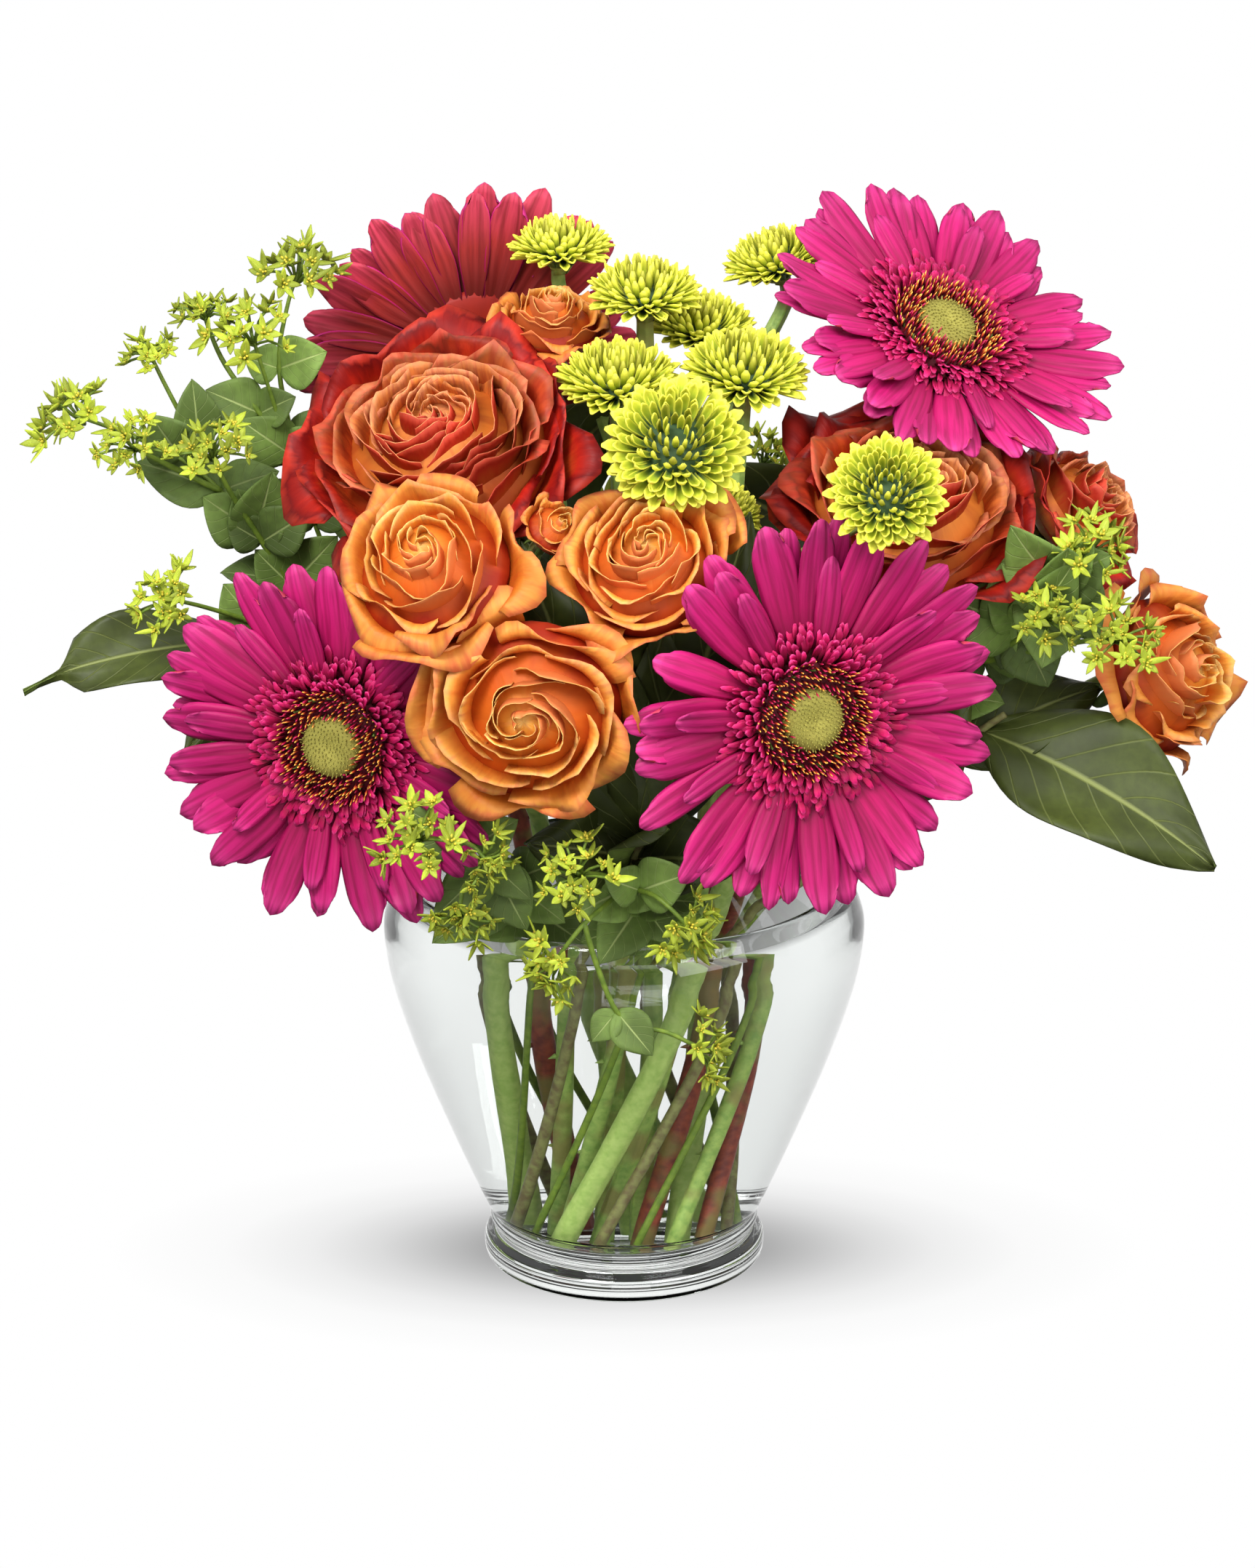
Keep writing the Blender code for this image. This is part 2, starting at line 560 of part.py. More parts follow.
def inner_wall(clearance):
    """The inside of the glass from the floor's edge up to the rim, less a clearance."""
    wall = [(radius - GLASS - clearance, height) for radius, height in reversed(VASE_WALL)]
    return [(FLOOR_RADIUS - clearance, FLOOR + clearance), (36.6 - clearance, 15.0 + 0.7 * clearance)] + wall


def make_vase(material):
    rim = [(RIM_INNER, RIM_HEIGHT), (RIM_OUTER, RIM_HEIGHT)]
    profile = [(0.0, FLOOR)] + inner_wall(0.0) + rim + VASE_WALL + VASE_FOOT + [(0.0, 0.0)]
    lathe("vase", profile, material)


def make_water(material):
    """Water up to just under the rim, with a plain straight hole for each stem."""
    wall = [point for point in inner_wall(GAP) if point[1] < WATER_TOP - 1]
    above = [point for point in inner_wall(GAP) if point[1] > WATER_TOP]
    (low_radius, low), (high_radius, high) = wall[-1], above[0]
    edge = low_radius + (high_radius - low_radius) * (WATER_TOP - low) / (high - low)
    profile = [(0.0, WATER_TOP), (edge, WATER_TOP)] + wall[::-1] + [(0.0, FLOOR + GAP)]
    water = lathe("water", profile, material)
    holes = bpy.data.collections.new("holes")
    for name, (foot, mouth, radius, sides) in STANDING.items():
        past = (mouth - foot).normalized() * 4
        ends = [foot - past, mouth + past]
        hole = new_object("hole_" + name, tube(ends, [radius + STEM_HOLE] * 2, sides, True), material)
        holes.objects.link(hole)
    cut = water.modifiers.new("holes", "BOOLEAN")
    cut.operation = "DIFFERENCE"
    cut.operand_type = "COLLECTION"
    cut.collection = holes
    mesh = bpy.data.meshes.new_from_object(water.evaluated_get(bpy.context.evaluated_depsgraph_get()))
    for hole in list(holes.objects):
        bpy.data.objects.remove(hole)
    bpy.data.collections.remove(holes)
    bpy.data.objects.remove(water)
    mesh.name = "water"
    piece("water", mesh)


# Gerberas

RAY_LAYERS = [(13, 1.0, 0.0, 0.0), (11, 0.90, 3.4, 0.5)]   # rays, share of the radius, lift, share of a step
RAY_WIDTHS = [3.4, 4.9]                                    # half widths, near the collar and near the tip
COLLAR_TIPS = 9                                            # short inner rays, larger than life
EYE_RIM = 11.8                                             # radius of the disc where it sits in the collar


def star(count, outer, inner, turn=0.0):
    """A ring whose points swap between an outer (radius, height) and an inner one."""
    ring = []
    for k in range(2 * count):
        radius, height = inner if k % 2 else outer
        ring.append(turned(radius, math.pi * (k + turn) / count, height))
    return ring


def gerbera_rays(bloom):
    """Strap-shaped rays in two layers, on a receptacle whose edge rises into a collar of short ones."""
    place = facing_frame(bloom.at, bloom.facing, bloom.spin)
    receptacle = bmesh.new()
    skin(receptacle, [star(COLLAR_TIPS, (12.0, -7.0), (12.0, -7.0)),
                      star(COLLAR_TIPS, (16.0, -2.4), (15.4, -2.4)),
                      star(COLLAR_TIPS, (25.0, 5.4), (17.0, 1.4)),
                      star(COLLAR_TIPS, (14.4, -1.5), (14.0, -1.5))])
    bodies = [receptacle]
    up = Vector((0, 0, 1))
    for count, share, lift, step in RAY_LAYERS:
        reach = bloom.radius * share
        for i in range(count):
            angle = 2 * math.pi * (i + step) / count
            droop = 1.6 * math.sin(5.1 * i + 9 * step) - 0.8
            spine = [turned(11.0, angle, -5.0 + 0.35 * lift), turned(24.0, angle, -3.2 + lift),
                     turned(0.84 * reach, angle + 0.02, 1.8 + lift + 0.4 * droop),
                     turned(reach, angle + 0.02, 2.6 + lift + droop)]
            bodies.append(keeled(spine, RAY_WIDTHS, up))
    return [transformed(bm, place) for bm in bodies]


def gerbera_eye(bloom):
    """The disc: a low dome of tight florets inside a raised ring of open ones."""
    place = facing_frame(bloom.at, bloom.facing, bloom.spin)
    bm = bmesh.new()
    skin(bm, [star(7, (EYE_RIM, -1.5 + GAP), (EYE_RIM - 0.4, -1.5 + GAP)), star(7, (13.2, 2.4), (12.0, 4.4)),
              star(7, (7.6, 2.2), (8.0, 1.6)), star(7, (4.6, 3.8), (4.2, 4.2))], None, Vector((0, 0, 4.4)))
    return [transformed(bm, place)]


# Roses

def rose_petal(radius, q, angle):
    """One petal of a rose; q runs from 0 for the innermost to 1 for the outermost.

    Each station is a distance from the axis, a height above the base and a half angle.
    """
    stations = [(0.16 + 0.50 * q, 0.38 - 0.16 * q, 60 - 24 * q),
                (0.21 + 0.68 * q, 0.86 - 0.34 * q, 58 - 16 * q),
                (0.27 + 0.73 * q, 0.96 - 0.50 * q, 40 - 8 * q)]
    root = (0.05 + 0.16 * q, 0.10)
    rings = []
    for i, (ring, height, half) in enumerate(stations):
        before = stations[i - 1][:2] if i else root
        after = stations[min(i + 1, len(stations) - 1)][:2]
        way = Vector((after[0] - before[0], after[1] - before[1])).normalized() * PETAL_THICKNESS / 2
        half = math.radians(half)
        faces = []
        for share, offset in ((-1, 0), (0, 1), (1, 0), (0, -1)):
            spot = radius * ring * (1 + 0.05 * share) - way.y * offset
            level = radius * (height - (0.05 * share ** 2 if i == 2 else 0)) + way.x * offset
            faces.append(turned(spot, angle + half * share, level))
        rings.append(faces)
    bm = bmesh.new()
    skin(bm, rings, turned(root[0] * radius, angle, root[1] * radius), None)
    return bm


def rose_bloom(bloom, petals):
    """A tight heart inside petals that open wider and lower towards the outside."""
    place = facing_frame(bloom.base, bloom.facing, bloom.spin)
    size = bloom.radius
    heart = bmesh.new()
    skin(heart, [star(3, (radius * size, height * size), (radius * size, height * size), twist)
                 for radius, height, twist in ((0.15, 0.0, 0.0), (0.36, 0.2, 0.0), (0.16, 0.86, 0.4))])
    bodies = [heart]
    for i in range(petals):
        q = (i / (petals - 1)) ** 0.9
        bodies.append(rose_petal(size, q, i * GOLDEN))
    return [transformed(bm, place) for bm in bodies]


# Button chrysanthemums

def mum_head(bloom):
    """A flat dome of pointed florets, raised from it row by row, each row turned by half a step.

    Each row gives the radius and height of its tips, and those of the valleys between them.
    """
    place = facing_frame(bloom.base, bloom.facing, bloom.spin)
    size = bloom.radius
    rows = [(0.24, 0.0, 0.24, 0.0), (1.0, 0.22, 0.46, 0.20), (0.94, 0.52, 0.56, 0.40),
            (0.74, 0.76, 0.48, 0.58), (0.46, 0.90, 0.28, 0.70)]
    rings = []
    for number, row in enumerate(rows):
        tip, tip_height, valley, valley_height = [size * share for share in row]
        rings.append(star(8, (tip, tip_height), (valley, valley_height), number % 2))
    bm = bmesh.new()
    skin(bm, rings, None, Vector((0, 0, 0.86 * size)))
    return [transformed(bm, place)]


# Stems with what carries each head

def stem_end(bloom, radius):
    """Offsets along a head's axis and radii that widen a stem into what carries the head."""
    if bloom.kind == "gerbera":
        return ((-NECK, radius + 0.8), (-5.0, CUP_RADIUS), (-GAP, 10.0))
    if bloom.kind == "mum":
        return ((-3.5, radius), (-GAP, 0.22 * bloom.radius))
    return ((-NECK, radius), (-5.0, radius))


def calyx(bloom):
    """A rose's hip, with five sepals turned back from it."""
    place = facing_frame(bloom.base, bloom.facing, bloom.spin)
    size = bloom.radius
    bm = bmesh.new()
    hip = 0.13 * size + 0.8
    skin(bm, [star(5, (hip, -5.0), (hip, -5.0)), star(5, (0.40 * size, -8.0), (hip + 0.02 * size, -2.6)),
              star(5, (0.13 * size, -GAP), (0.13 * size, -GAP))], Vector((0, 0, -NECK - 5.0)))
    return transformed(bm, place)


def umbel(points, size):
    """Two whorls of pointed bracts round a knot of flowers at the end of a twig."""
    axis = (points[-1] - points[-2]).normalized() + Vector((0, -0.4, 0.6))
    bm = bmesh.new()
    skin(bm, [star(5, (0.95 * size, 0.22 * size), (0.30 * size, 0.05 * size)),
              star(5, (0.70 * size, 0.62 * size), (0.24 * size, 0.30 * size), 1)],
         Vector((0, 0, -0.5 * size)), Vector((0, 0, 0.42 * size)))
    return transformed(bm, facing_frame(points[-1], axis.normalized()))


def leaf_blade(root, leaf):
    """A pointed oval leaf, arched along its length and folded a little at its midrib."""
    rise = leaf.face.normalized() * leaf.reach.length
    if leaf.width < SMALL_LEAF:
        arch, widths = ((0.0, 0.0), (0.30, 0.05), (0.70, 0.06), (1.0, 0.0)), (0.95, 0.80)
    else:
        arch, widths = ((0.0, 0.0), (0.22, 0.06), (0.50, 0.09), (0.78, 0.06), (1.0, 0.0)), (0.72, 1.0, 0.62)
    spine = [root + leaf.reach * share + rise * height for share, height in arch]
    return blade(spine, [leaf.width * width for width in widths], leaf.face)


def sides_of(stem):
    """Thick stems are rounder than thin ones."""
    return 3 + (stem.radius > 1.5) + (stem.radius > 2.5)


def make_stem(name, stem, routes):
    """A stem with its forks, its leaves and the calyx, cup or cluster at each end."""
    bodies = []
    for number, shoot in enumerate(stem.shoots):
        route = routes[name, number]
        sides = sides_of(stem)
        path, widths = route.points, [route.radius] * len(route.points)
        if shoot.head:
            bloom = BLOOMS[shoot.head]
            shape = stem_end(bloom, route.radius)
            path = path[:-1] + [bloom.base + bloom.facing * offset for offset, _ in shape[1:]]
            widths = widths[:-1] + [width for _, width in shape[1:]]
        bodies.append(tube(path, widths, sides, flat_foot=shoot.start is None))
        if shoot.head and bloom.kind == "rose":
            bodies.append(calyx(bloom))
        if shoot.umbel:
            bodies.append(umbel(route.points, shoot.umbel))
    for leaf in stem.leaves:
        bodies.append(leaf_blade(routes[name, leaf.run].points[leaf.point], leaf))
    join(name, bodies, MATERIALS[stem.colour])


# Building

for old in list(bpy.data.objects):
    bpy.data.objects.remove(old)
ARRANGEMENT = bpy.data.collections.new("roses_and_gerberas_in_a_vase")
bpy.context.scene.collection.children.link(ARRANGEMENT)
MATERIALS = {
    "clear_glass": finish("clear_glass", (0.92, 0.95, 0.94), 0.02, clear=1.0),
    "water": finish("water", (0.95, 0.98, 0.98), 0.0, clear=1.0),
    "gerbera_pink": finish("gerbera_pink", (0.60, 0.01, 0.17), 0.55),
    "gerbera_eye": finish("gerbera_eye", (0.42, 0.36, 0.10), 0.8),
    "rose_orange": finish("rose_orange", (0.85, 0.27, 0.06), 0.5),
    "rose_red_orange": finish("rose_red_orange", (0.75, 0.10, 0.03), 0.5),
    "mum_green": finish("mum_green", (0.52, 0.62, 0.05), 0.6),
    "stem_green": finish("stem_green", (0.20, 0.28, 0.10), 0.5),
    "stem_brown": finish("stem_brown", (0.14, 0.06, 0.04), 0.5),
    "leaf_green": finish("leaf_green", (0.05, 0.12, 0.03), 0.4),
    "thorow_wax": finish("thorow_wax", (0.42, 0.50, 0.08), 0.6),
}

ROUTES = settle(first_routes())
STANDING = {name: (*ROUTES[name, 0].points[:2], stem.radius, sides_of(stem)) for name, stem in STEMS.items()}
make_vase(MATERIALS["clear_glass"])
make_water(MATERIALS["water"])
for title, head in GERBERAS.items():
    join("gerbera_" + title + "_rays", gerbera_rays(head), MATERIALS["gerbera_pink"])
    join("gerbera_" + title + "_eye", gerbera_eye(head), MATERIALS["gerbera_eye"])
for title, head in ROSES.items():
    kind = "rose_red_orange" if title in ("large_left", "large_right", "side_right") else "rose_orange"
    join("rose_" + title + "_bloom", rose_bloom(head, ROSE_PETALS[title]), MATERIALS[kind])
for title, head in MUMS.items():
    join("mum_" + title + "_head", mum_head(head), MATERIALS["mum_green"])
for title, cut_stem in STEMS.items():
    make_stem(title, cut_stem, ROUTES)
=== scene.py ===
"""Roses, gerberas, button chrysanthemums and thorow-wax, cut and standing in a footed glass vase.

Every piece is worked out in millimetres in the object's own frame, and becomes metres as it is shaped.
"""

import math

import bpy
import numpy as np
from mathutils import Matrix, Vector


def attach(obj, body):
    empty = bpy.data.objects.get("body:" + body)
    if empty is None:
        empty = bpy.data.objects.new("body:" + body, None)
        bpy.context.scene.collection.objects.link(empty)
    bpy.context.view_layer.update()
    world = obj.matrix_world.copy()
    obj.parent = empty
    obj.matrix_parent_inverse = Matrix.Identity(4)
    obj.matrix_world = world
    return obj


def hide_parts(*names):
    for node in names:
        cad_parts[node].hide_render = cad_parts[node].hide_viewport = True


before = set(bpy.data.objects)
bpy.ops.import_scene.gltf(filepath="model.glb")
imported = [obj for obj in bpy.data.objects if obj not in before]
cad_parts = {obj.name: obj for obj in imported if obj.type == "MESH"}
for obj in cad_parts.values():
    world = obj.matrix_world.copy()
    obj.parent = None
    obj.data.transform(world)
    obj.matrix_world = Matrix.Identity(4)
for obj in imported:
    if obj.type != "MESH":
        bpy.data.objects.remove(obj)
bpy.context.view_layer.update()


# The vase. One piece of clear glass, thin in the wall and drawn in a little at the rim, on a thick solid
# foot that was turned with two rings while the glass was hot.

MM = 0.001                         # a millimetre in metres
VASE_FOOT = [(38.6, 0.0), (41.2, 1.0), (42.0, 4.0), (41.4, 7.0), (38.7, 9.6), (40.2, 12.6), (39.4, 15.4)]
VASE_WALL = [(42.2, 19.5), (53.0, 45.0), (62.0, 68.0), (68.6, 89.0), (70.9, 104.5), (69.4, 112.0),
             (66.4, 118.0)]
VASE_RIM = [(64.8, 120.9), (63.6, 121.5), (62.4, 120.6)]
VASE_FLOOR = [(39.0, 19.0), (34.0, 13.6), (24.0, 12.2), (8.0, 12.0)]
GLASS = 3.0                        # thickness of the wall
ROUND = 96                         # facets round the vase and its water
SPAN = 4                           # points on each span of their outlines


def smooth_line(points, steps):
    """Points along a smooth curve through the given ones."""
    points = [np.array(point, float) for point in points]
    line = []
    for i in range(len(points) - 1):
        before, after = points[max(i - 1, 0)], points[min(i + 2, len(points) - 1)]
        for step in range(steps):
            t = step / steps
            line.append(points[i] * (2 * t ** 3 - 3 * t ** 2 + 1) + points[i + 1] * (3 * t ** 2 - 2 * t ** 3)
                        + (points[i + 1] - before) / 2 * (t ** 3 - 2 * t ** 2 + t)
                        + (after - points[i]) / 2 * (t ** 3 - t ** 2))
    return line + [points[-1]]


def turned_solid(name, profile):
    """A ring that is extruded and resized up and over the profile, then closed at both ends."""
    bpy.ops.object.select_all(action="DESELECT")
    radius, height = profile[0]
    bpy.ops.mesh.primitive_circle_add(vertices=ROUND, radius=radius * MM, location=(0, 0, height * MM),
                                      fill_type="NGON")
    bpy.ops.object.transform_apply(location=True, rotation=True, scale=True)
    solid = bpy.context.object
    solid.name = name
    bpy.ops.object.mode_set(mode="EDIT")
    bpy.ops.mesh.select_all(action="SELECT")
    for next_radius, next_height in profile[1:]:
        rise = (next_height - height) * MM
        bpy.ops.mesh.extrude_region_move(TRANSFORM_OT_translate={"value": (0, 0, rise)})
        share = next_radius / radius
        bpy.ops.transform.resize(value=(share, share, 1))
        radius, height = next_radius, next_height
    bpy.ops.mesh.select_all(action="SELECT")
    bpy.ops.mesh.normals_make_consistent(inside=False)
    bpy.ops.object.mode_set(mode="OBJECT")
    bpy.ops.object.shade_smooth()
    return solid


def material(name, **values):
    """A material whose shader has these values; underscores in a name stand for spaces."""
    made = bpy.data.materials.new(name)
    made.use_nodes = True
    shader = made.node_tree.nodes["Principled BSDF"]
    for socket, value in values.items():
        shader.inputs[socket.replace("_", " ")].default_value = value
    return made


def add(made, kind, settings=None, **inputs):
    """A node of a material's tree; each input is a value, or a socket that is linked to it."""
    node = made.node_tree.nodes.new("ShaderNode" + kind)
    for setting, value in (settings or {}).items():
        setattr(node, setting, value)
    for name, value in inputs.items():
        socket = node.inputs[int(name[1:]) if name[1:].isdigit() else name.replace("_", " ")]
        if isinstance(value, bpy.types.NodeSocket):
            made.node_tree.links.new(value, socket)
        else:
            socket.default_value = value
    return node


def srgb(red, green, blue):
    """A colour in the shader's linear values from 0 to 255 ones."""
    return tuple((c / 255 / 12.92) if c < 11 else ((c / 255 + 0.055) / 1.055) ** 2.4
                 for c in (red, green, blue)) + (1.0,)


def linked(made, output, name):
    """Links an output to an input of the material's shader."""
    made.node_tree.links.new(output, made.node_tree.nodes["Principled BSDF"].inputs[name])


def noise(made, scale, detail=2.0, place=None):
    """Noise over the object, or over a place that is given."""
    if place is None:
        place = add(made, "TexCoord").outputs["Object"]
    return add(made, "TexNoise", Vector=place, Scale=scale, Detail=detail).outputs["Fac"]


def bumped(made, height, strength, depth):
    """Raises a material's surface by a height; depth is in metres."""
    bump = add(made, "Bump", Strength=strength, Distance=depth, Height=height)
    linked(made, bump.outputs["Normal"], "Normal")


def clear(name, colour, ior, wave_scale, wave_detail, strength, depth):
    """A clear material with faint waves, through which lamps light what stands behind it."""
    made = material(name, Base_Color=colour, Roughness=0.0, IOR=ior, Transmission_Weight=1.0)
    bumped(made, noise(made, wave_scale, wave_detail), strength, depth)
    tree = made.node_tree
    lit = add(made, "MixShader", v0=add(made, "LightPath").outputs["Is Shadow Ray"],
              v1=tree.nodes["Principled BSDF"].outputs[0],
              v2=add(made, "BsdfTransparent", Color=(0.94, 0.95, 0.95, 1)).outputs[0])
    tree.links.new(lit.outputs[0], tree.nodes["Material Output"].inputs["Surface"])
    return made


def finished(piece, slot_name, *nodes):
    """Hangs a piece on the frame in place of its nodes."""
    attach(piece, "root")
    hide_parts(*nodes)


inside = [(radius - GLASS, height) for radius, height in reversed(VASE_WALL)]
vase = turned_solid("glass_vase", smooth_line(VASE_FOOT + VASE_WALL + VASE_RIM + inside + VASE_FLOOR, SPAN))
glass = clear("clear_glass", (0.985, 0.995, 0.99, 1), 1.45, 22.0, 1.0, 0.03, 0.004)
tinge = add(glass, "VolumeAbsorption", Color=(0.72, 0.78, 0.72, 1), Density=3.0)
glass.node_tree.links.new(tinge.outputs[0], glass.node_tree.nodes["Material Output"].inputs["Volume"])
vase.data.materials.append(glass)
finished(vase, "clear_glass", "vase")


# The water. It fills the vase to just under the rim, climbs a little where it meets the glass, and is held
# by the glass alone.

WATER_TOP = 115.0
WATER_REACH = 0.15                 # how far the water is let into the glass, so that no air shows between

wall = smooth_line(inside[::-1], SPAN)
bowl = [(radius + WATER_REACH, height) for radius, height in wall if height < WATER_TOP - 1]
basin = [(radius + WATER_REACH, height - WATER_REACH) for radius, height in smooth_line(VASE_FLOOR, SPAN)]
edge = float(np.interp(WATER_TOP + 0.9, [height for radius, height in wall],
                       [radius for radius, height in wall])) + WATER_REACH
water_line = basin[::-1] + bowl + [(edge, WATER_TOP + 0.9), (edge - 0.9, WATER_TOP + 0.2),
                                   (edge - 2.4, WATER_TOP), (30.0, WATER_TOP), (4.0, WATER_TOP)]
water = turned_solid("water_in_vase", water_line)
clear_water = clear("clear_water", (0.99, 1.0, 0.995, 1), 1.2, 40.0, 2.0, 0.02, 0.003)
water.data.materials.append(clear_water)
finished(water, "water", "water")


# Where each bloom, stem and leaf stands. Stems are set in the vase as florists set them, in three turned
# rings that never cross, and bend above the water to carry their heads clear of each other.


class Bloom:
    """A flower head: the middle of its face, the way it faces, its radius, its turn and its depth."""

    def __init__(self, kind, at, facing, radius, spin=0.0):
        self.kind = kind
        self.at = Vector(at)
        self.facing = Vector(facing).normalized()
        self.radius = radius
        self.spin = math.radians(spin)
        self.depth = {"gerbera": 7.0, "rose": 0.55 * radius, "mum": 0.45 * radius}[kind]
        self.base = self.at - self.facing * self.depth


HEADS = {
    "gerbera": {
        "front_right": ((51.5, -88, 197), (0.37, -0.93, 0.05), 56),
        "front_left": ((-81, -68, 182.5), (-0.38, -0.92, 0.01), 53, 5),
        "top_right": ((92, 8.5, 283.5), (0.36, -0.48, 0.80), 52, 3),
        "top_left": ((-44, 46, 266.5), (-0.15, 0.97, 0.17), 52, 8)},
    "rose": {
        "large_left": ((-52, -35.5, 263), (-0.13, -0.63, 0.76), 42),
        "large_right": ((81.5, -31.5, 244.2), (0.17, -0.60, 0.78), 39.5, 70),
        "side_right": ((134, 0, 232.5), (0.76, -0.30, 0.58), 26, 50),
        "spray_left": ((-53.5, -84.8, 241.5), (-0.24, -0.66, 0.71), 29.7, 40),
        "spray_middle": ((6.5, -84.5, 242.2), (-0.04, -0.70, 0.71), 28.6, 100),
        "spray_front": ((-26, -103.5, 203), (-0.14, -0.98, 0.11), 34, 160),
        "spray_top": ((-20, 4, 288), (0.09, -0.19, 0.98), 19.5, 10),
        "spray_right": ((158.5, -25, 190), (0.79, -0.54, 0.27), 31, 55),
        "spray_bud": ((-18, -69.5, 246.3), (0.45, -0.58, 0.68), 10.5, 0)},
    "mum": {
        "crown": ((-18.4, 24.5, 305.5), (0.0, -0.05, 1.0), 15.3),
        "left": ((6, -4, 299), (0.0, -0.16, 0.99), 16.6, 50),
        "low_left": ((-1.5, -26, 279.5), (0.0, -0.22, 0.97), 18, 100),
        "behind": ((22.5, 9, 286), (0.09, -0.16, 0.98), 15.6, 150),
        "right": ((34.5, -22, 281), (0.08, -0.28, 0.96), 18.3, 200),
        "middle": ((14.5, -75.2, 272.4), (0.05, -0.80, 0.60), 20, 250),
        "front": ((71, -90, 263), (0.0, -0.82, 0.57), 16.6, 300),
        "far": ((43, 36, 299), (-0.26, -0.12, 0.96), 15.6, 350),
        "half_hidden": ((31, -34, 243), (0.52, -0.25, 0.82), 10, 30)}}
GERBERAS, ROSES, MUMS = ({name: Bloom(kind, *head) for name, head in heads.items()}
                         for kind, heads in HEADS.items())
BLOOMS = {bloom.kind + "_" + name: bloom
          for heads in (GERBERAS, ROSES, MUMS) for name, bloom in heads.items()}


class Shoot:
    """One run of a stem: the run and point that it starts from, its points, and what it carries."""

    def __init__(self, start=None, via=(), head=None, umbel=0.0):
        self.start = start
        self.via = [Vector(point) for point in via]
        self.head = head
        self.umbel = umbel


class Leaf:
    """A leaf: the run and the point that it grows from, the way to its tip, its half width and its face."""

    def __init__(self, run, point, reach, width, face):
        self.run = run
        self.point = point
        self.reach = Vector(reach)
        self.width = width
        self.face = Vector(face)


class Stem:
    """A cut stem: its ring and bearing in the vase, its radius, and the shoots and leaves that it bears."""

    def __init__(self, ring, bearing, radius, shoots, colour="stem_green", leaves=()):
        self.ring = ring
        self.bearing = math.radians(bearing)
        self.radius = radius
        self.shoots = shoots
        self.colour = colour
        self.leaves = leaves


FORK = 4                           # the point of the trunk that its forks start from


def shoots_to(*heads):
    """The runs of a stem that ends at the first head, with a fork to each of the others."""
    return [Shoot(head=heads[0])] + [Shoot(start=(0, FORK), head=head) for head in heads[1:]]


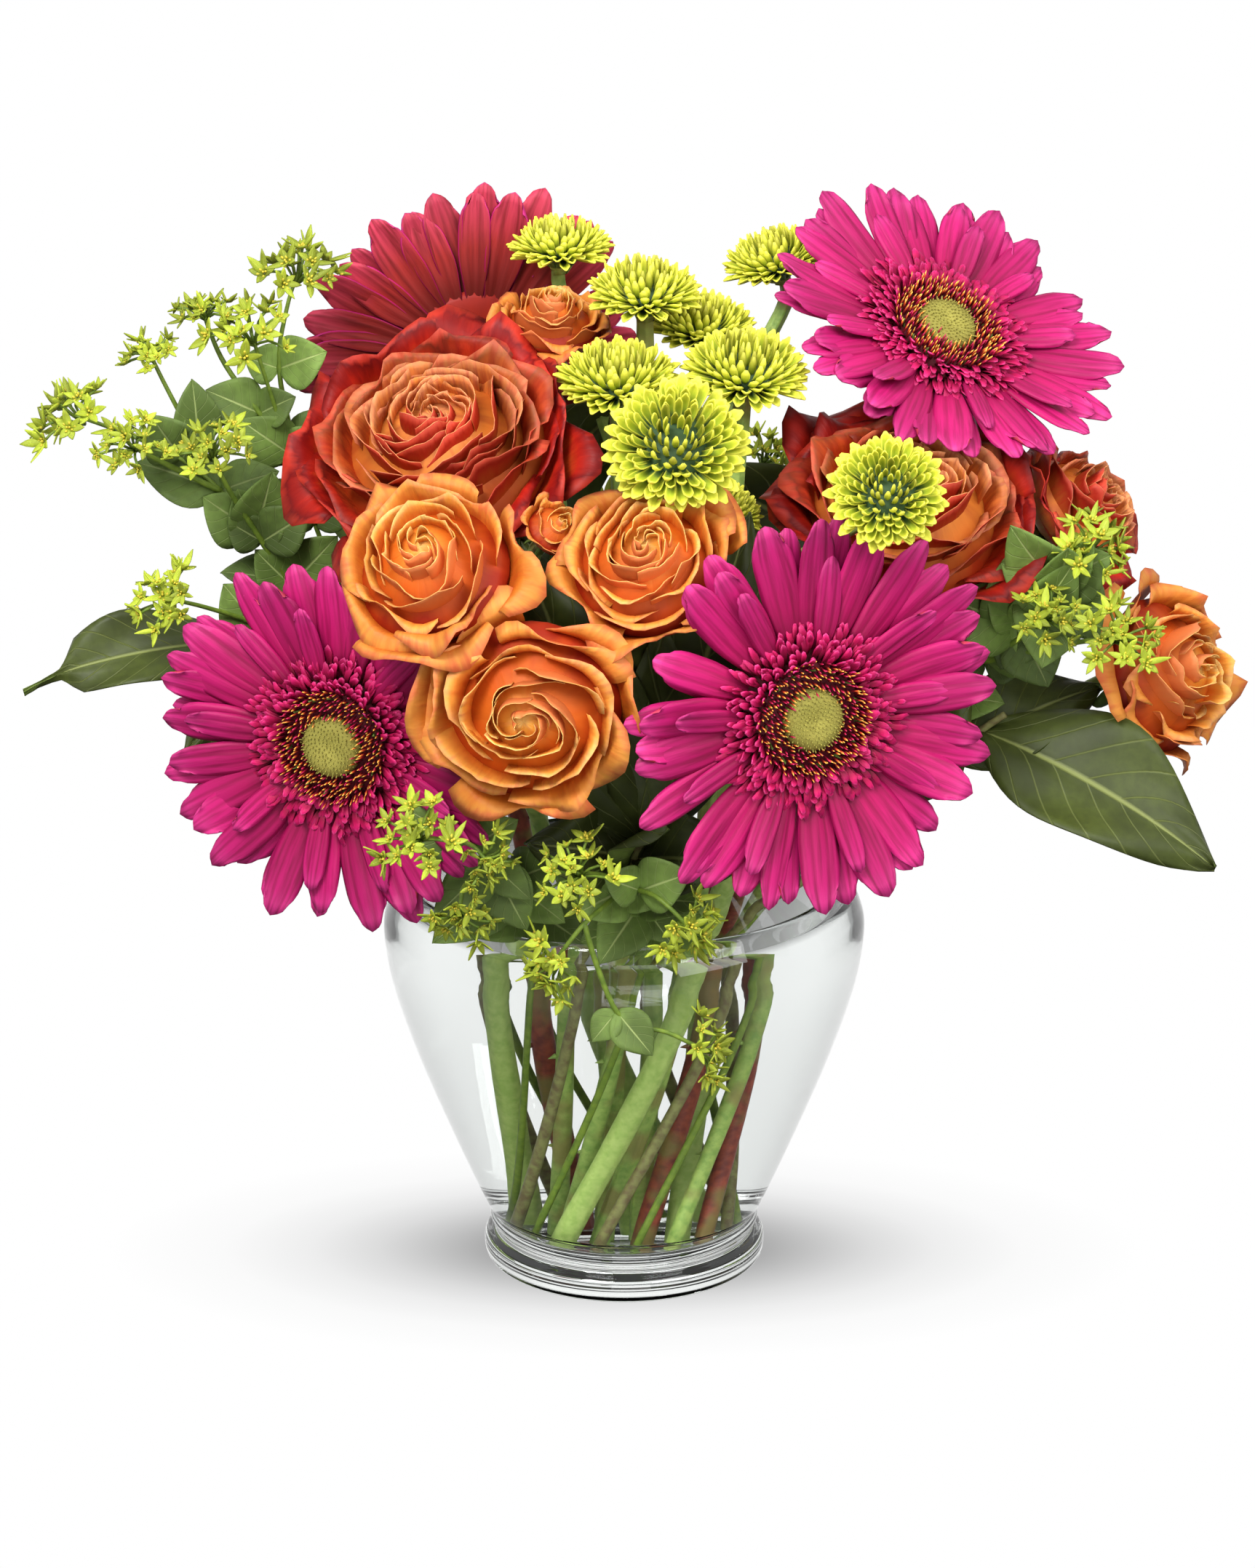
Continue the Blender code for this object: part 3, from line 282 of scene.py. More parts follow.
STEMS = {
    "gerbera_front_left_stem": Stem("outer", -146, 3.3, shoots_to("gerbera_front_left")),
    "gerbera_front_right_stem": Stem("outer", -56, 3.3, shoots_to("gerbera_front_right")),
    "gerbera_top_right_stem": Stem("middle", 40, 3.2, shoots_to("gerbera_top_right")),
    "gerbera_top_left_stem": Stem("outer", 124, 3.2, shoots_to("gerbera_top_left")),
    "rose_large_left_stem": Stem("middle", -160, 3.0, shoots_to("rose_large_left"), "stem_brown"),
    "rose_large_right_stem": Stem("middle", 0, 3.0, shoots_to("rose_large_right"), "stem_brown"),
    "rose_side_right_stem": Stem("outer", 34, 2.6, shoots_to("rose_side_right"), "stem_brown"),
    "spray_rose_left_stem": Stem("middle", -120, 2.4, shoots_to("rose_spray_left", "rose_spray_bud")),
    "spray_rose_front_stem": Stem("middle", -80, 2.4, shoots_to("rose_spray_middle", "rose_spray_front")),
    "spray_rose_top_stem": Stem("inner", 150, 2.2, shoots_to("rose_spray_top")),
    "spray_rose_right_stem": Stem("outer", 12, 2.3, shoots_to("rose_spray_right")),
    "mum_back_stem": Stem("inner", 30, 2.4, shoots_to("mum_left", "mum_crown", "mum_behind", "mum_far")),
    "mum_front_stem": Stem("inner", -90, 2.4, shoots_to("mum_low_left", "mum_middle", "mum_half_hidden")),
    "mum_right_stem": Stem("middle", -40, 2.4, shoots_to("mum_right", "mum_front")),
    "thorow_wax_left": Stem("outer", 169, 1.4, [
        Shoot(via=[(-66, 6, 150), (-86, 2, 190), (-106, -4, 226), (-126, -6, 248), (-157, -2, 260)],
              umbel=13),
        Shoot((0, 6), [(-112, -12, 240), (-117, -18, 254)], umbel=12),
        Shoot((0, 8), [(-134, -14, 251), (-139, -20, 256)], umbel=11),
        Shoot((0, 6), [(-122, 2, 250), (-135, 2, 277)], umbel=8),
        Shoot((0, 4), [(-104, -16, 201), (-129, -34, 215)], umbel=12),
    ], "thorow_wax", [
        Leaf(0, 8, (-24, 2, 8), 9, (0.2, -0.8, 0.5)), Leaf(3, 2, (-1, -2, 20), 7, (0.3, -1, 0)),
        Leaf(0, 6, (14, -8, 17), 9, (0, -1, 0.2)), Leaf(0, 6, (-20, -4, 5), 8, (0, -0.6, 1)),
        Leaf(0, 5, (18, -6, 12), 9, (0, -1, 0.4)), Leaf(0, 5, (-20, -6, 9), 9, (0, -1, 0.3)),
        Leaf(0, 7, (6, -8, 20), 9, (0.3, -1, 0.1)), Leaf(4, 1, (-16, -8, 14), 8, (0, -1, 0.5)),
        Leaf(1, 1, (14, -4, 10), 8, (0, -1, 0.2))]),
    "thorow_wax_upper_left": Stem("outer", 147, 1.4, [
        Shoot(via=[(-60, 24, 155), (-82, 18, 200), (-96, 10, 245), (-106, 2, 283)], umbel=13),
        Shoot((0, 6), [(-99, 12, 270), (-93, 15, 298)], umbel=13),
        Shoot((0, 7), [(-114, 8, 272), (-120, 8, 288)], umbel=9),
    ], "thorow_wax", [
        Leaf(0, 6, (-17, -3, 14), 8, (0, -1, 0.4)), Leaf(0, 7, (17, 2, 12), 8, (0, -1, 0.4)),
        Leaf(0, 5, (-18, -6, 8), 8, (0, -1, 0.5)), Leaf(0, 5, (10, 8, 22), 8, (0, -1, 0)),
        Leaf(1, 1, (15, -4, 9), 8, (0, -1, 0.3)), Leaf(2, 1, (-15, -4, 8), 8, (0, -1, 0.4))]),
    "thorow_wax_front_left": Stem("outer", -123, 1.3, [
        Shoot(via=[(-32, -56, 138), (-43, -78, 156), (-56, -106, 170)], umbel=12),
        Shoot((0, 4), [(-44, -90, 150), (-45, -96, 142)], umbel=10),
        Shoot((0, 5), [(-44, -96, 164), (-37, -102, 163)], umbel=9),
    ], "thorow_wax", [
        Leaf(0, 4, (-16, -12, -12), 7, (0, -1, 0.3)), Leaf(0, 3, (14, -12, 10), 8, (0, -1, 0.6))]),
    "thorow_wax_front": Stem("outer", -78, 1.3, [
        Shoot(via=[(5, -62, 134), (-4, -82, 149), (-13, -101, 157)], umbel=12),
        Shoot((0, 4), [(9, -90, 146), (18, -95, 139)], umbel=12),
        Shoot((0, 4), [(-11, -90, 138), (-20, -91, 126)], umbel=12),
        Shoot((2, 2), [(-2, -90, 112), (12, -88, 105), (23, -87, 99)], umbel=12),
    ], "thorow_wax", [
        Leaf(3, 2, (10, -3, -12), 6, (0, -1, 0.4)), Leaf(0, 4, (-14, -10, -4), 8, (0, -1, 0.4)),
        Leaf(0, 3, (18, -12, 4), 8, (0, -0.8, 1))]),
    "thorow_wax_right": Stem("outer", -11, 1.4, [
        Shoot(via=[(66, -12, 146), (92, -22, 182), (112, -34, 206), (128, -38, 232)], umbel=13),
        Shoot((0, 6), [(116, -44, 210), (118, -50, 216)], umbel=11),
        Shoot((0, 6), [(128, -46, 206), (139, -53, 209)], umbel=12),
    ], "thorow_wax", [
        Leaf(0, 6, (-14, -6, 16), 8, (0, -1, 0.3)), Leaf(0, 6, (6, -8, 22), 8, (-0.4, -1, 0)),
        Leaf(0, 5, (16, -12, 2), 8, (0, -1, 0.6)), Leaf(0, 7, (-12, 2, 14), 7, (0, -1, 0))]),
    "thorow_wax_back": Stem("outer", 79, 1.4, [
        Shoot(via=[(12, 62, 155), (18, 74, 200), (14, 82, 236)], umbel=13),
        Shoot((0, 4), [(32, 80, 212), (44, 84, 224)], umbel=12),
        Shoot((0, 3), [(2, 82, 190), (-8, 92, 204)], umbel=12),
    ], "thorow_wax", [
        Leaf(0, 4, (-18, 6, 14), 9, (0, 1, 0.3)), Leaf(0, 3, (20, 8, 10), 9, (0, 1, 0.4))]),
    "leaves_right": Stem("outer", -33, 1.7, [
        Shoot(via=[(66, -26, 138), (92, -34, 168), (108, -38, 182)])], "leaf_green", [
        Leaf(0, 6, (65, -24, -33), 20, (0.25, -0.75, 0.6)), Leaf(0, 5, (44, 10, 18), 14, (0.1, -0.7, 0.8)),
        Leaf(0, 4, (16, -10, 42), 13, (-0.3, -1, 0.1))]),
    "leaves_left": Stem("outer", -168, 1.7, [
        Shoot(via=[(-78, -10, 150), (-104, -12, 188), (-114, -12, 199)])], "leaf_green", [
        Leaf(0, 6, (-62, -8, -11), 12, (0, -0.7, 0.7)), Leaf(0, 5, (-22, -12, -22), 8, (0, -1, 0.3)),
        Leaf(0, 4, (24, -8, 46), 13, (0, -1, 0))]),
    "leaves_front": Stem("outer", -101, 1.7, [
        Shoot(via=[(-4, -56, 130), (3, -64, 148), (6, -66, 156)])], "leaf_green", [
        Leaf(0, 6, (6, -18, 12), 13, (0, -0.7, 0.7)), Leaf(0, 6, (6, 2, 46), 12, (0, -1, 0.1)),
        Leaf(0, 5, (30, -14, 4), 12, (0, -0.9, 0.5)), Leaf(0, 5, (-30, -10, 8), 11, (0, -0.9, 0.5))]),
    "leaves_back_right": Stem("outer", 57, 1.7, [
        Shoot(via=[(44, 54, 150), (62, 62, 186), (68, 62, 214)])], "leaf_green", [
        Leaf(0, 6, (10, 10, 44), 17, (0.2, 1, 0.2)), Leaf(0, 4, (46, 20, 14), 17, (0.2, 0.8, 0.6)),
        Leaf(0, 5, (-34, 24, 12), 14, (0, 1, 0.5))]),
    "leaves_back_left": Stem("outer", 102, 1.7, [
        Shoot(via=[(-30, 60, 150), (-52, 68, 182), (-60, 68, 200)])], "leaf_green", [
        Leaf(0, 6, (-40, 10, 30), 16, (-0.2, 1, 0.3)), Leaf(0, 4, (-34, 26, -6), 15, (0, 0.8, 0.7)),
        Leaf(0, 5, (26, 22, 16), 14, (0, 1, 0.4))]),
}
FLOOR = 12.3                       # where the cut ends stand
RINGS = {"outer": (44.0, 27.0), "middle": (28.0, 16.0), "inner": (10.0, 5.0)}   # radius at mouth and foot
TURN = math.radians(75)            # how far a stem goes round from foot to mouth
STRAIGHT_TOP = 117.0               # the height up to which stems are straight
NECK = 9.0                         # straight end of a stem below its head
HEAD_CLEARANCE = 1.0
STEM_CLEARANCE = 1.2
RAY_SPREAD = 6.0                   # half the thickness of a gerbera's face with its rays
CUP_DEPTH, CUP_RADIUS = 14.0, 8.0
UMBEL_BULK = 0.8                   # the share of an umbel's radius that is kept clear
SETTLING = 160                     # rounds in which the stems are moved apart
PUSH = 0.6                         # the share of an overlap between stems that one round takes away
STRIDE = 0.7                       # the share of each round's push that a point follows
STRAIGHTENING = 0.18               # how far a point goes to the middle of its neighbours in a round
LAST_STRAIGHTENING = 0.8           # the share of the rounds in which it does
GLASS_LINE = [(63.5, 121.5), (65.0, 118.0), (68.0, 112.0), (69.3, 104.5), (67.1, 89.0), (60.5, 68.0),
              (51.5, 45.0), (40.7, 19.5)]


def turned(radius, angle, height):
    """A point at a radius and an angle round the vase."""
    return Vector((radius * math.cos(angle), radius * math.sin(angle), height))


def facing_frame(point, facing, spin=0.0):
    """Matrix that carries a head made round +Z to its place, turned to its facing."""
    side = Vector((0, 0, 1)).cross(facing)
    if side.length < 0.05:
        side = Vector((1, 0, 0)).cross(facing)
    side.normalize()
    up = facing.cross(side)
    turn = Matrix((side, up, facing)).transposed().to_4x4()
    return Matrix.Translation(point) @ turn @ Matrix.Rotation(spin, 4, "Z")


def hermite(start, start_way, end, end_way, count):
    """Points along a smooth curve that leaves start along start_way and reaches end along end_way."""
    points = []
    for i in range(count + 1):
        t = i / count
        points.append(start * (2 * t ** 3 - 3 * t ** 2 + 1) + start_way * (t ** 3 - 2 * t ** 2 + t)
                      + end * (3 * t ** 2 - 2 * t ** 3) + end_way * (t ** 3 - t ** 2))
    return points


def through(points, steps=2):
    """A smooth curve through the points, each span cut into steps."""
    curve = []
    for i in range(len(points) - 1):
        before = points[max(i - 1, 0)]
        after = points[min(i + 2, len(points) - 1)]
        way_in = (points[i + 1] - before) / 2
        way_out = (after - points[i]) / 2
        curve += hermite(points[i], way_in, points[i + 1], way_out, steps)[:-1]
    return curve + [points[-1]]


class Route:
    """The line of one shoot: whose it is, how thick, its points, and those that stay where they are."""

    def __init__(self, stem_name, radius, points, held):
        self.stem_name = stem_name
        self.radius = radius
        self.points = points
        self.held = held


def first_routes():
    """The lines that the shoots take before they make room for each other."""
    routes = {}
    for name, stem in STEMS.items():
        for number, shoot in enumerate(stem.shoots):
            if shoot.start is None:
                mouth_radius, foot_radius = RINGS[stem.ring]
                foot = turned(foot_radius, stem.bearing - TURN, FLOOR)
                start = turned(mouth_radius, stem.bearing, STRAIGHT_TOP)
                way = (start - foot).normalized()
                lead, radius, count = [foot], stem.radius, 5
            else:
                run, at = shoot.start
                trunk = routes[name, run].points
                start = trunk[at]
                way = (trunk[min(at + 1, len(trunk) - 1)] - trunk[at - 1]).normalized()
                lead, radius, count = [], stem.radius * 0.85, 3
            if shoot.head:
                bloom = BLOOMS[shoot.head]
                neck = bloom.base - bloom.facing * NECK
                reach = (neck - start).length
                points = lead + hermite(start, way * reach * 0.9, neck, bloom.facing * reach * 0.7, count)
                points.append(bloom.base)
                held = [0, len(points) - 2, len(points) - 1]
            else:
                points = lead + through([start] + shoot.via)
                held = [0]
            if lead:
                held.append(1)
            routes[name, number] = Route(name, radius, points, held)
    return routes


def obstacles(routes):
    """Round-edged discs that stand for the heads: owner, middle, axis, disc radius and half thickness."""
    discs = []
    for bloom in BLOOMS.values():
        if bloom.kind == "gerbera":
            discs.append((None, bloom.at, bloom.facing, bloom.radius - RAY_SPREAD / 2, RAY_SPREAD))
            discs.append((None, bloom.at - bloom.facing * CUP_DEPTH, bloom.facing, RAY_SPREAD, CUP_RADIUS))
        elif bloom.kind == "rose":
            discs.append((None, bloom.at - bloom.facing * 0.08 * bloom.radius, bloom.facing,
                          bloom.radius * 0.58, bloom.radius * 0.46))
            discs.append((None, bloom.base - bloom.facing * 4, bloom.facing, 1.0, 7.0))
        else:
            discs.append((None, bloom.at, bloom.facing, bloom.radius * 0.6, bloom.radius * 0.48))
    for name, stem in STEMS.items():
        for number, shoot in enumerate(stem.shoots):
            if shoot.umbel:
                discs.append((name, routes[name, number].points[-1], Vector((0, 0, 1)), 1.0,
                              shoot.umbel * UMBEL_BULK))
    return discs


def settle(routes):
    """Moves the free points of every route until the stems clear what is round them."""
    names = list(STEMS)
    spots, owner, radius, bulk, free, smooth, links, first = [], [], [], [], [], [], [], {}
    for (name, number), route in routes.items():
        shoot = STEMS[name].shoots[number]
        first[name, number] = len(spots)
        last = len(route.points) - 1
        for i, point in enumerate(route.points):
            spots.append(point[:])
            owner.append(names.index(name))
            radius.append(route.radius)
            bulk.append(max(route.radius, shoot.umbel * UMBEL_BULK) if i == last else route.radius)
            free.append(i not in route.held)
            smooth.append(bool(shoot.head) and 0 < i < last)
            if i:
                links.append((len(spots) - 2, len(spots) - 1))
    spots, links = np.array(spots), np.array(links)
    owner, radius, bulk, free = np.array(owner), np.array(radius), np.array(bulk), np.array(free)
    smooth = np.flatnonzero(smooth)
    rows = np.arange(len(spots))
    discs = [(names.index(holder) if holder else -1, np.array(at), np.array(axis), size, half)
             for holder, at, axis, size, half in obstacles(routes)]
    wall = np.array(GLASS_LINE)
    leg = wall[1:] - wall[:-1]
    for turn in range(SETTLING):
        push = np.zeros_like(spots)
        for holder, at, axis, size, half in discs:
            away = spots - at
            height = away @ axis
            across = away - np.outer(height, axis)
            length = np.linalg.norm(across, axis=1, keepdims=True) + 1e-9
            away = away - across * np.minimum(1.0, size / length)
            far = np.linalg.norm(away, axis=1) + 1e-9
            lack = np.maximum(0.0, half + bulk + HEAD_CLEARANCE - far)
            lack[owner == holder] = 0.0
            push += away / far[:, None] * lack[:, None]
        start, end = spots[links[:, 0]], spots[links[:, 1]]
        along = end - start
        share = ((spots[:, None] - start) * along).sum(2) / ((along ** 2).sum(1) + 1e-9)
        away = spots[:, None] - start - np.clip(share, 0, 1)[:, :, None] * along
        far = np.linalg.norm(away, axis=2) + 1e-9
        lack = np.maximum(0.0, bulk[:, None] + radius[links[:, 0]] + STEM_CLEARANCE - far)
        lack[owner[:, None] == owner[links[:, 0]]] = 0.0
        push += (away / far[:, :, None] * lack[:, :, None]).sum(1) * PUSH
        ring = np.hypot(spots[:, 0], spots[:, 1]) + 1e-9
        flat = np.stack([ring, spots[:, 2]], axis=1)
        share = ((flat[:, None] - wall[:-1]) * leg).sum(2) / (leg ** 2).sum(1)
        away = flat[:, None] - wall[:-1] - np.clip(share, 0, 1)[:, :, None] * leg
        far = np.linalg.norm(away, axis=2) + 1e-9
        closest = far.argmin(1)
        lack = np.maximum(0.0, GLASS / 2 + radius + STEM_CLEARANCE - far[rows, closest])
        shift = away[rows, closest] * (lack / far[rows, closest])[:, None]
        push[:, :2] += spots[:, :2] * (shift[:, 0] / ring)[:, None]
        push[:, 2] += shift[:, 1]
        if turn < SETTLING * LAST_STRAIGHTENING:
            push[smooth] += ((spots[smooth - 1] + spots[smooth + 1]) / 2 - spots[smooth]) * STRAIGHTENING
        spots[free] += push[free] * STRIDE
        for (name, number), low in first.items():
            fork = STEMS[name].shoots[number].start
            if fork:
                spots[low] = spots[first[name, fork[0]] + fork[1]]
    for key, low in first.items():
        routes[key].points = [Vector(spots[low + i]) for i in range(len(routes[key].points))]
    return routes


ROUTES = settle(first_routes())


# The gerberas. Each head is a disc of tiny florets, khaki and still closed in the middle and dark red with
# yellow tips round it, then a fringe of short pink florets, and two rows of long strap-shaped rays.

GOLDEN = math.radians(137.5)       # the turn from one floret to the next
SEAM = 0.01                        # points closer than this are one
EYE_RADIUS = 9.0
DISC_RADIUS = 16.0
RAY_ROOT = 14.0
RAY_ROWS = [(21, 1.0, 5.7, 0.9, 0.0), (20, 0.98, 5.6, -0.9, 0.5), (9, 0.80, 3.8, 2.4, 0.2)]
FRINGE = 400
SPIKES = 420
FUZZ = 200
TIPPED = 0.62                      # the share of the disc's florets that have yellow tips
BED = [(0.0, -6.6), (10.0, -6.8), (17.0, -5.6), (21.0, -3.6), (20.5, -3.0), (15.0, -1.6), (10.0, -0.6),
       (0.0, 0.0)]
EYE_DOME = [(0.0, -1.0), (9.0, -1.0), (8.8, 0.8), (7.9, 2.4), (5.9, 3.3), (3.0, 2.9), (0.0, 2.2)]


def sheet(columns, rows):
    """A flat grid to be shaped: x runs across it and y from root to tip, as its UV map does."""
    bpy.ops.object.select_all(action="DESELECT")
    bpy.ops.mesh.primitive_grid_add(x_subdivisions=columns, y_subdivisions=rows, size=2)
    return bpy.context.object


def shaped(pattern, place, form, **marks):
    """A copy of a grid with each point moved to form(u, v) and to its place; it bears the marks."""
    copy = pattern.copy()
    copy.data = pattern.data.copy()
    bpy.context.scene.collection.objects.link(copy)
    flat = np.empty(len(copy.data.vertices) * 3, np.float32)
    copy.data.vertices.foreach_get("co", flat)
    u, v = flat.reshape(-1, 3)[:, 0].astype(float), (flat.reshape(-1, 3)[:, 1].astype(float) + 1) / 2
    points = np.stack(form(u, v), axis=1)
    place = np.array(place)
    points = (points @ place[:3, :3].T + place[:3, 3]) * MM
    copy.data.vertices.foreach_set("co", points.astype(np.float32).ravel())
    for name, value in marks.items():
        mark = copy.data.attributes.new(name, "FLOAT", "POINT")
        mark.data.foreach_set("value", np.full(len(u), value, np.float32))
    return copy


def hung(name, slot_name, node, pieces, thickness, *looks):
    """Joins pieces into one smooth object and hangs it on the frame in place of its node.

    Open sheets are given a thickness, and round shapes, which have none, a closed seam. With two looks, the
    second is that of the underside.
    """
    bpy.ops.object.select_all(action="DESELECT")
    for piece in pieces:
        piece.select_set(True)
    bpy.context.view_layer.objects.active = pieces[0]
    bpy.ops.object.join()
    whole = bpy.context.object
    whole.name = name
    whole.data.name = name
    for look in looks:
        whole.data.materials.append(look)
    if thickness:
        wall = whole.modifiers.new("wall", "SOLIDIFY")
        wall.thickness = thickness * MM
        wall.offset = -1.0
        wall.material_offset = len(looks) - 1
        bpy.ops.object.modifier_apply(modifier=wall.name)
    else:
        bpy.ops.object.mode_set(mode="EDIT")
        bpy.ops.mesh.select_all(action="SELECT")
        bpy.ops.mesh.remove_doubles(threshold=SEAM * MM)
        bpy.ops.mesh.normals_make_consistent(inside=False)
        bpy.ops.object.mode_set(mode="OBJECT")
    bpy.ops.object.shade_smooth()
    finished(whole, slot_name, node)


def removed(*patterns):
    """Takes away the grids that were only there to be copied."""
    for pattern in patterns:
        bpy.data.objects.remove(pattern)


def ease(value):
    """From 0 to 1 along a smooth step."""
    value = np.clip(value, 0, 1)
    return value * value * (3 - 2 * value)


def around(out, across, height, angle):
    """A point that is given outward, across and up, turned about the axis."""
    return (out * math.cos(angle) - across * math.sin(angle),
            out * math.sin(angle) + across * math.cos(angle), height)


def round_form(profile):
    """A turned shape: v runs along the profile, and u once round it."""
    radii, heights = np.array(profile, float).T
    stops = np.linspace(0, 1, len(radii))

    def form(u, v):
        radius = np.interp(v, stops, radii)
        return radius * np.cos(np.pi * u), radius * np.sin(np.pi * u), np.interp(v, stops, heights)
    return form


def ray_form(reach, half, angle, lift, droop, twist, bend):
    """A strap-shaped ray: grooved along its length, blunt and faintly toothed at its tip."""
    def form(u, v):
        out = RAY_ROOT + (reach - RAY_ROOT) * v
        width = half * (0.46 + 0.54 * ease(v / 0.55)) * (1 - 0.34 * np.clip((v - 0.72) / 0.28, 0, 1) ** 2)
        out = out - 0.85 * half * np.abs(u) ** 2.4 * v ** 6 + 0.16 * np.cos(3 * np.pi * u) * v ** 14
        height = -4.6 + 6.2 * v ** 0.8 + lift * ease(v * 3) + droop * v ** 2.4 + twist * u * width * v
        height += 0.42 * np.cos(2.7 * np.pi * u) * ease(v * 3) * (1 - 0.4 * v) - 0.16 * width * u ** 2
        return around(out, -u * width + bend * reach * v ** 2, height, angle)
    return form


def fringe_form(root, length, half, angle, rise, curl, sway):
    """A short floret of the fringe, which rises from the disc and curls over at its tip."""
    def form(u, v):
        run = length * (v - 0.12 * u ** 2 * v ** 4)
        out = root + run * math.cos(rise) + curl * length * 0.22 * v ** 2
        height = -1.8 + run * math.sin(rise) - curl * length * 0.30 * v ** 3
        width = half * (0.45 + 0.75 * ease(v / 0.8)) * (1 - 0.35 * np.clip((v - 0.84) / 0.16, 0, 1) ** 2)
        return around(out, -u * width + sway * v ** 2, height + 0.6 * width * u ** 2, angle)
    return form


def spike_form(root, length, half, angle, lean, base_height, taper=0.45):
    """A slim round floret that leans outward and narrows to its tip."""
    def form(u, v):
        width = half * (1.0 - taper * v) * np.clip(v * 40, 0, 1) * np.clip((1 - v) * 40, 0, 1)
        side, fore = width * np.cos(np.pi * u), width * np.sin(np.pi * u)
        out = root + length * v * math.sin(lean) + fore * math.cos(lean)
        height = base_height + length * v * math.cos(lean) - fore * math.sin(lean)
        return around(out, side, height, angle)
    return form


def ramp_of(made, factor, stops):
    """A colour ramp through (position, colour) stops."""
    ramp = add(made, "ValToRGB", v0=factor)
    elements = ramp.color_ramp.elements
    while len(elements) < len(stops):
        elements.new(0.5)
    for element, (position, colour) in zip(elements, stops):
        element.position = position
        element.color = srgb(*colour)
    return ramp.outputs["Color"]


def mixed(made, factor, first, second):
    """The first colour where the factor is 0, and the second where it is 1."""
    return add(made, "Mix", {"data_type": "RGBA"}, v0=factor, v6=first, v7=second).outputs[2]


def ranged(made, value, low, high, to_low, to_high):
    """A value that goes from to_low to to_high as another goes from low to high."""
    return add(made, "MapRange", v0=value, v1=low, v2=high, v3=to_low, v4=to_high).outputs[0]


def math_of(made, operation, first, second=0.0, third=0.0):
    return add(made, "Math", {"operation": operation}, v0=first, v1=second, v2=third).outputs[0]


def mark_of(made, name):
    """A value that each petal bears."""
    return add(made, "Attribute", {"attribute_name": name}).outputs["Fac"]


def spot_of(made):
    """Where a point is on its petal: X runs across it, and Y from root to tip."""
    return add(made, "SeparateXYZ", v0=add(made, "UVMap", {"uv_map": "UVMap"}).outputs["UV"]).outputs


def away_of(made, spot):
    """How far a point is from its petal's middle line."""
    return math_of(made, "ABSOLUTE", math_of(made, "MULTIPLY_ADD", spot["X"], 2.0, -1.0))


def petal_noise(made, spot, scale, detail, *stretch):
    """Noise stretched across and along a petal, and another on each one."""
    parts = [math_of(made, "MULTIPLY", value, by)
             for value, by in zip((spot["X"], spot["Y"], mark_of(made, "shade")), stretch)]
    place = add(made, "CombineXYZ", X=parts[0], Y=parts[1], Z=parts[2]).outputs[0]
    return noise(made, scale, detail, place)


def toned(made, colour, low, high):
    """Gives a material its colour, darker or lighter on each petal as its mark shade says."""
    value = ranged(made, mark_of(made, "shade"), 0.0, 1.0, low, high)
    linked(made, add(made, "HueSaturation", Value=value, Color=colour).outputs["Color"], "Base Color")


def tissue(name, stops, outer_stops=None, streak=(0, 0, 0), amount=0.3, across=16.0, spread=(0.80, 1.12),
           roughness=0.55, relief=0.3, grooves=0.0, cloud=0.0):
    """Petal tissue: colour from root to tip, streaks along it, and a tone of its own for each petal.

    Where outer_stops are given, petals that bear the mark ring go over to them from 0 to 1. Cloud is how far
    soft patches shift the colour, and grooves how dark two lines along a ray are painted, as shade in its
    grooves.
    """
    made = material(name, Roughness=roughness, Specular_IOR_Level=0.25)
    spot = spot_of(made)
    grain = petal_noise(made, spot, 1.0, 3.0, across, 2.2, 60.0)
    wavy = math_of(made, "MULTIPLY_ADD", math_of(made, "SUBTRACT", grain, 0.5), 0.22, spot["Y"])
    raised = grain
    if cloud:
        soft = petal_noise(made, spot, 1.3, 2.0, 3.0, 1.6, 90.0)
        wavy = math_of(made, "MULTIPLY_ADD", math_of(made, "SUBTRACT", soft, 0.5), cloud, wavy)
        raised = math_of(made, "MULTIPLY_ADD", soft, 4.0, grain)
    colour = ramp_of(made, wavy, stops)
    if outer_stops:
        colour = mixed(made, mark_of(made, "ring"), colour, ramp_of(made, wavy, outer_stops))
    colour = mixed(made, ranged(made, grain, 0.42, 0.72, 0.0, amount), colour, srgb(*streak))
    if grooves:
        # Two darker lines along a ray: painted shade in its grooves.
        apart = math_of(made, "ABSOLUTE", math_of(made, "SUBTRACT", away_of(made, spot), 0.37))
        colour = mixed(made, ranged(made, apart, 0.02, 0.13, grooves, 0.0), colour, srgb(*streak))
    toned(made, colour, *spread)
    bumped(made, raised, relief, 0.0005)
    return made


# The rays and the fringe florets go dark toward the root: painted shade where they crowd round the disc.
RAY_COLOURS = [(0.12, (108, 8, 44)), (0.40, (168, 14, 84)), (0.80, (188, 26, 106)), (1.0, (204, 54, 130))]
ray_pink = tissue("gerbera_ray_upper", RAY_COLOURS, streak=(112, 4, 46), amount=0.7, across=9.0, grooves=0.42)
ray_under = tissue("gerbera_ray_under", [(0.1, (92, 26, 18)), (0.55, (158, 42, 40)), (0.97, (200, 60, 88))],
                   streak=(104, 20, 18), amount=0.8, across=8.0, grooves=0.4)
fringe_pink = tissue("gerbera_fringe", [(0.25, (92, 4, 26)), (0.66, (170, 10, 72)), (0.92, (200, 26, 100)),
                                        (1.0, (214, 64, 128))],
                     streak=(110, 6, 40), across=5.0, spread=(0.72, 1.2))
disc_red = tissue("gerbera_disc_floret", [(0.45, (84, 4, 22)), (0.76, (186, 22, 70)), (1.0, (222, 70, 120))],
                  [(0.45, (104, 10, 18)), (0.66, (212, 84, 40)), (0.9, (252, 204, 88))],
                  streak=(150, 20, 50), across=3.0, spread=(0.7, 1.25))
eye_khaki = tissue("gerbera_eye_fuzz", [(0.0, (98, 92, 32)), (1.0, (178, 170, 82))], streak=(128, 112, 46),
                   across=12.0, roughness=0.8)
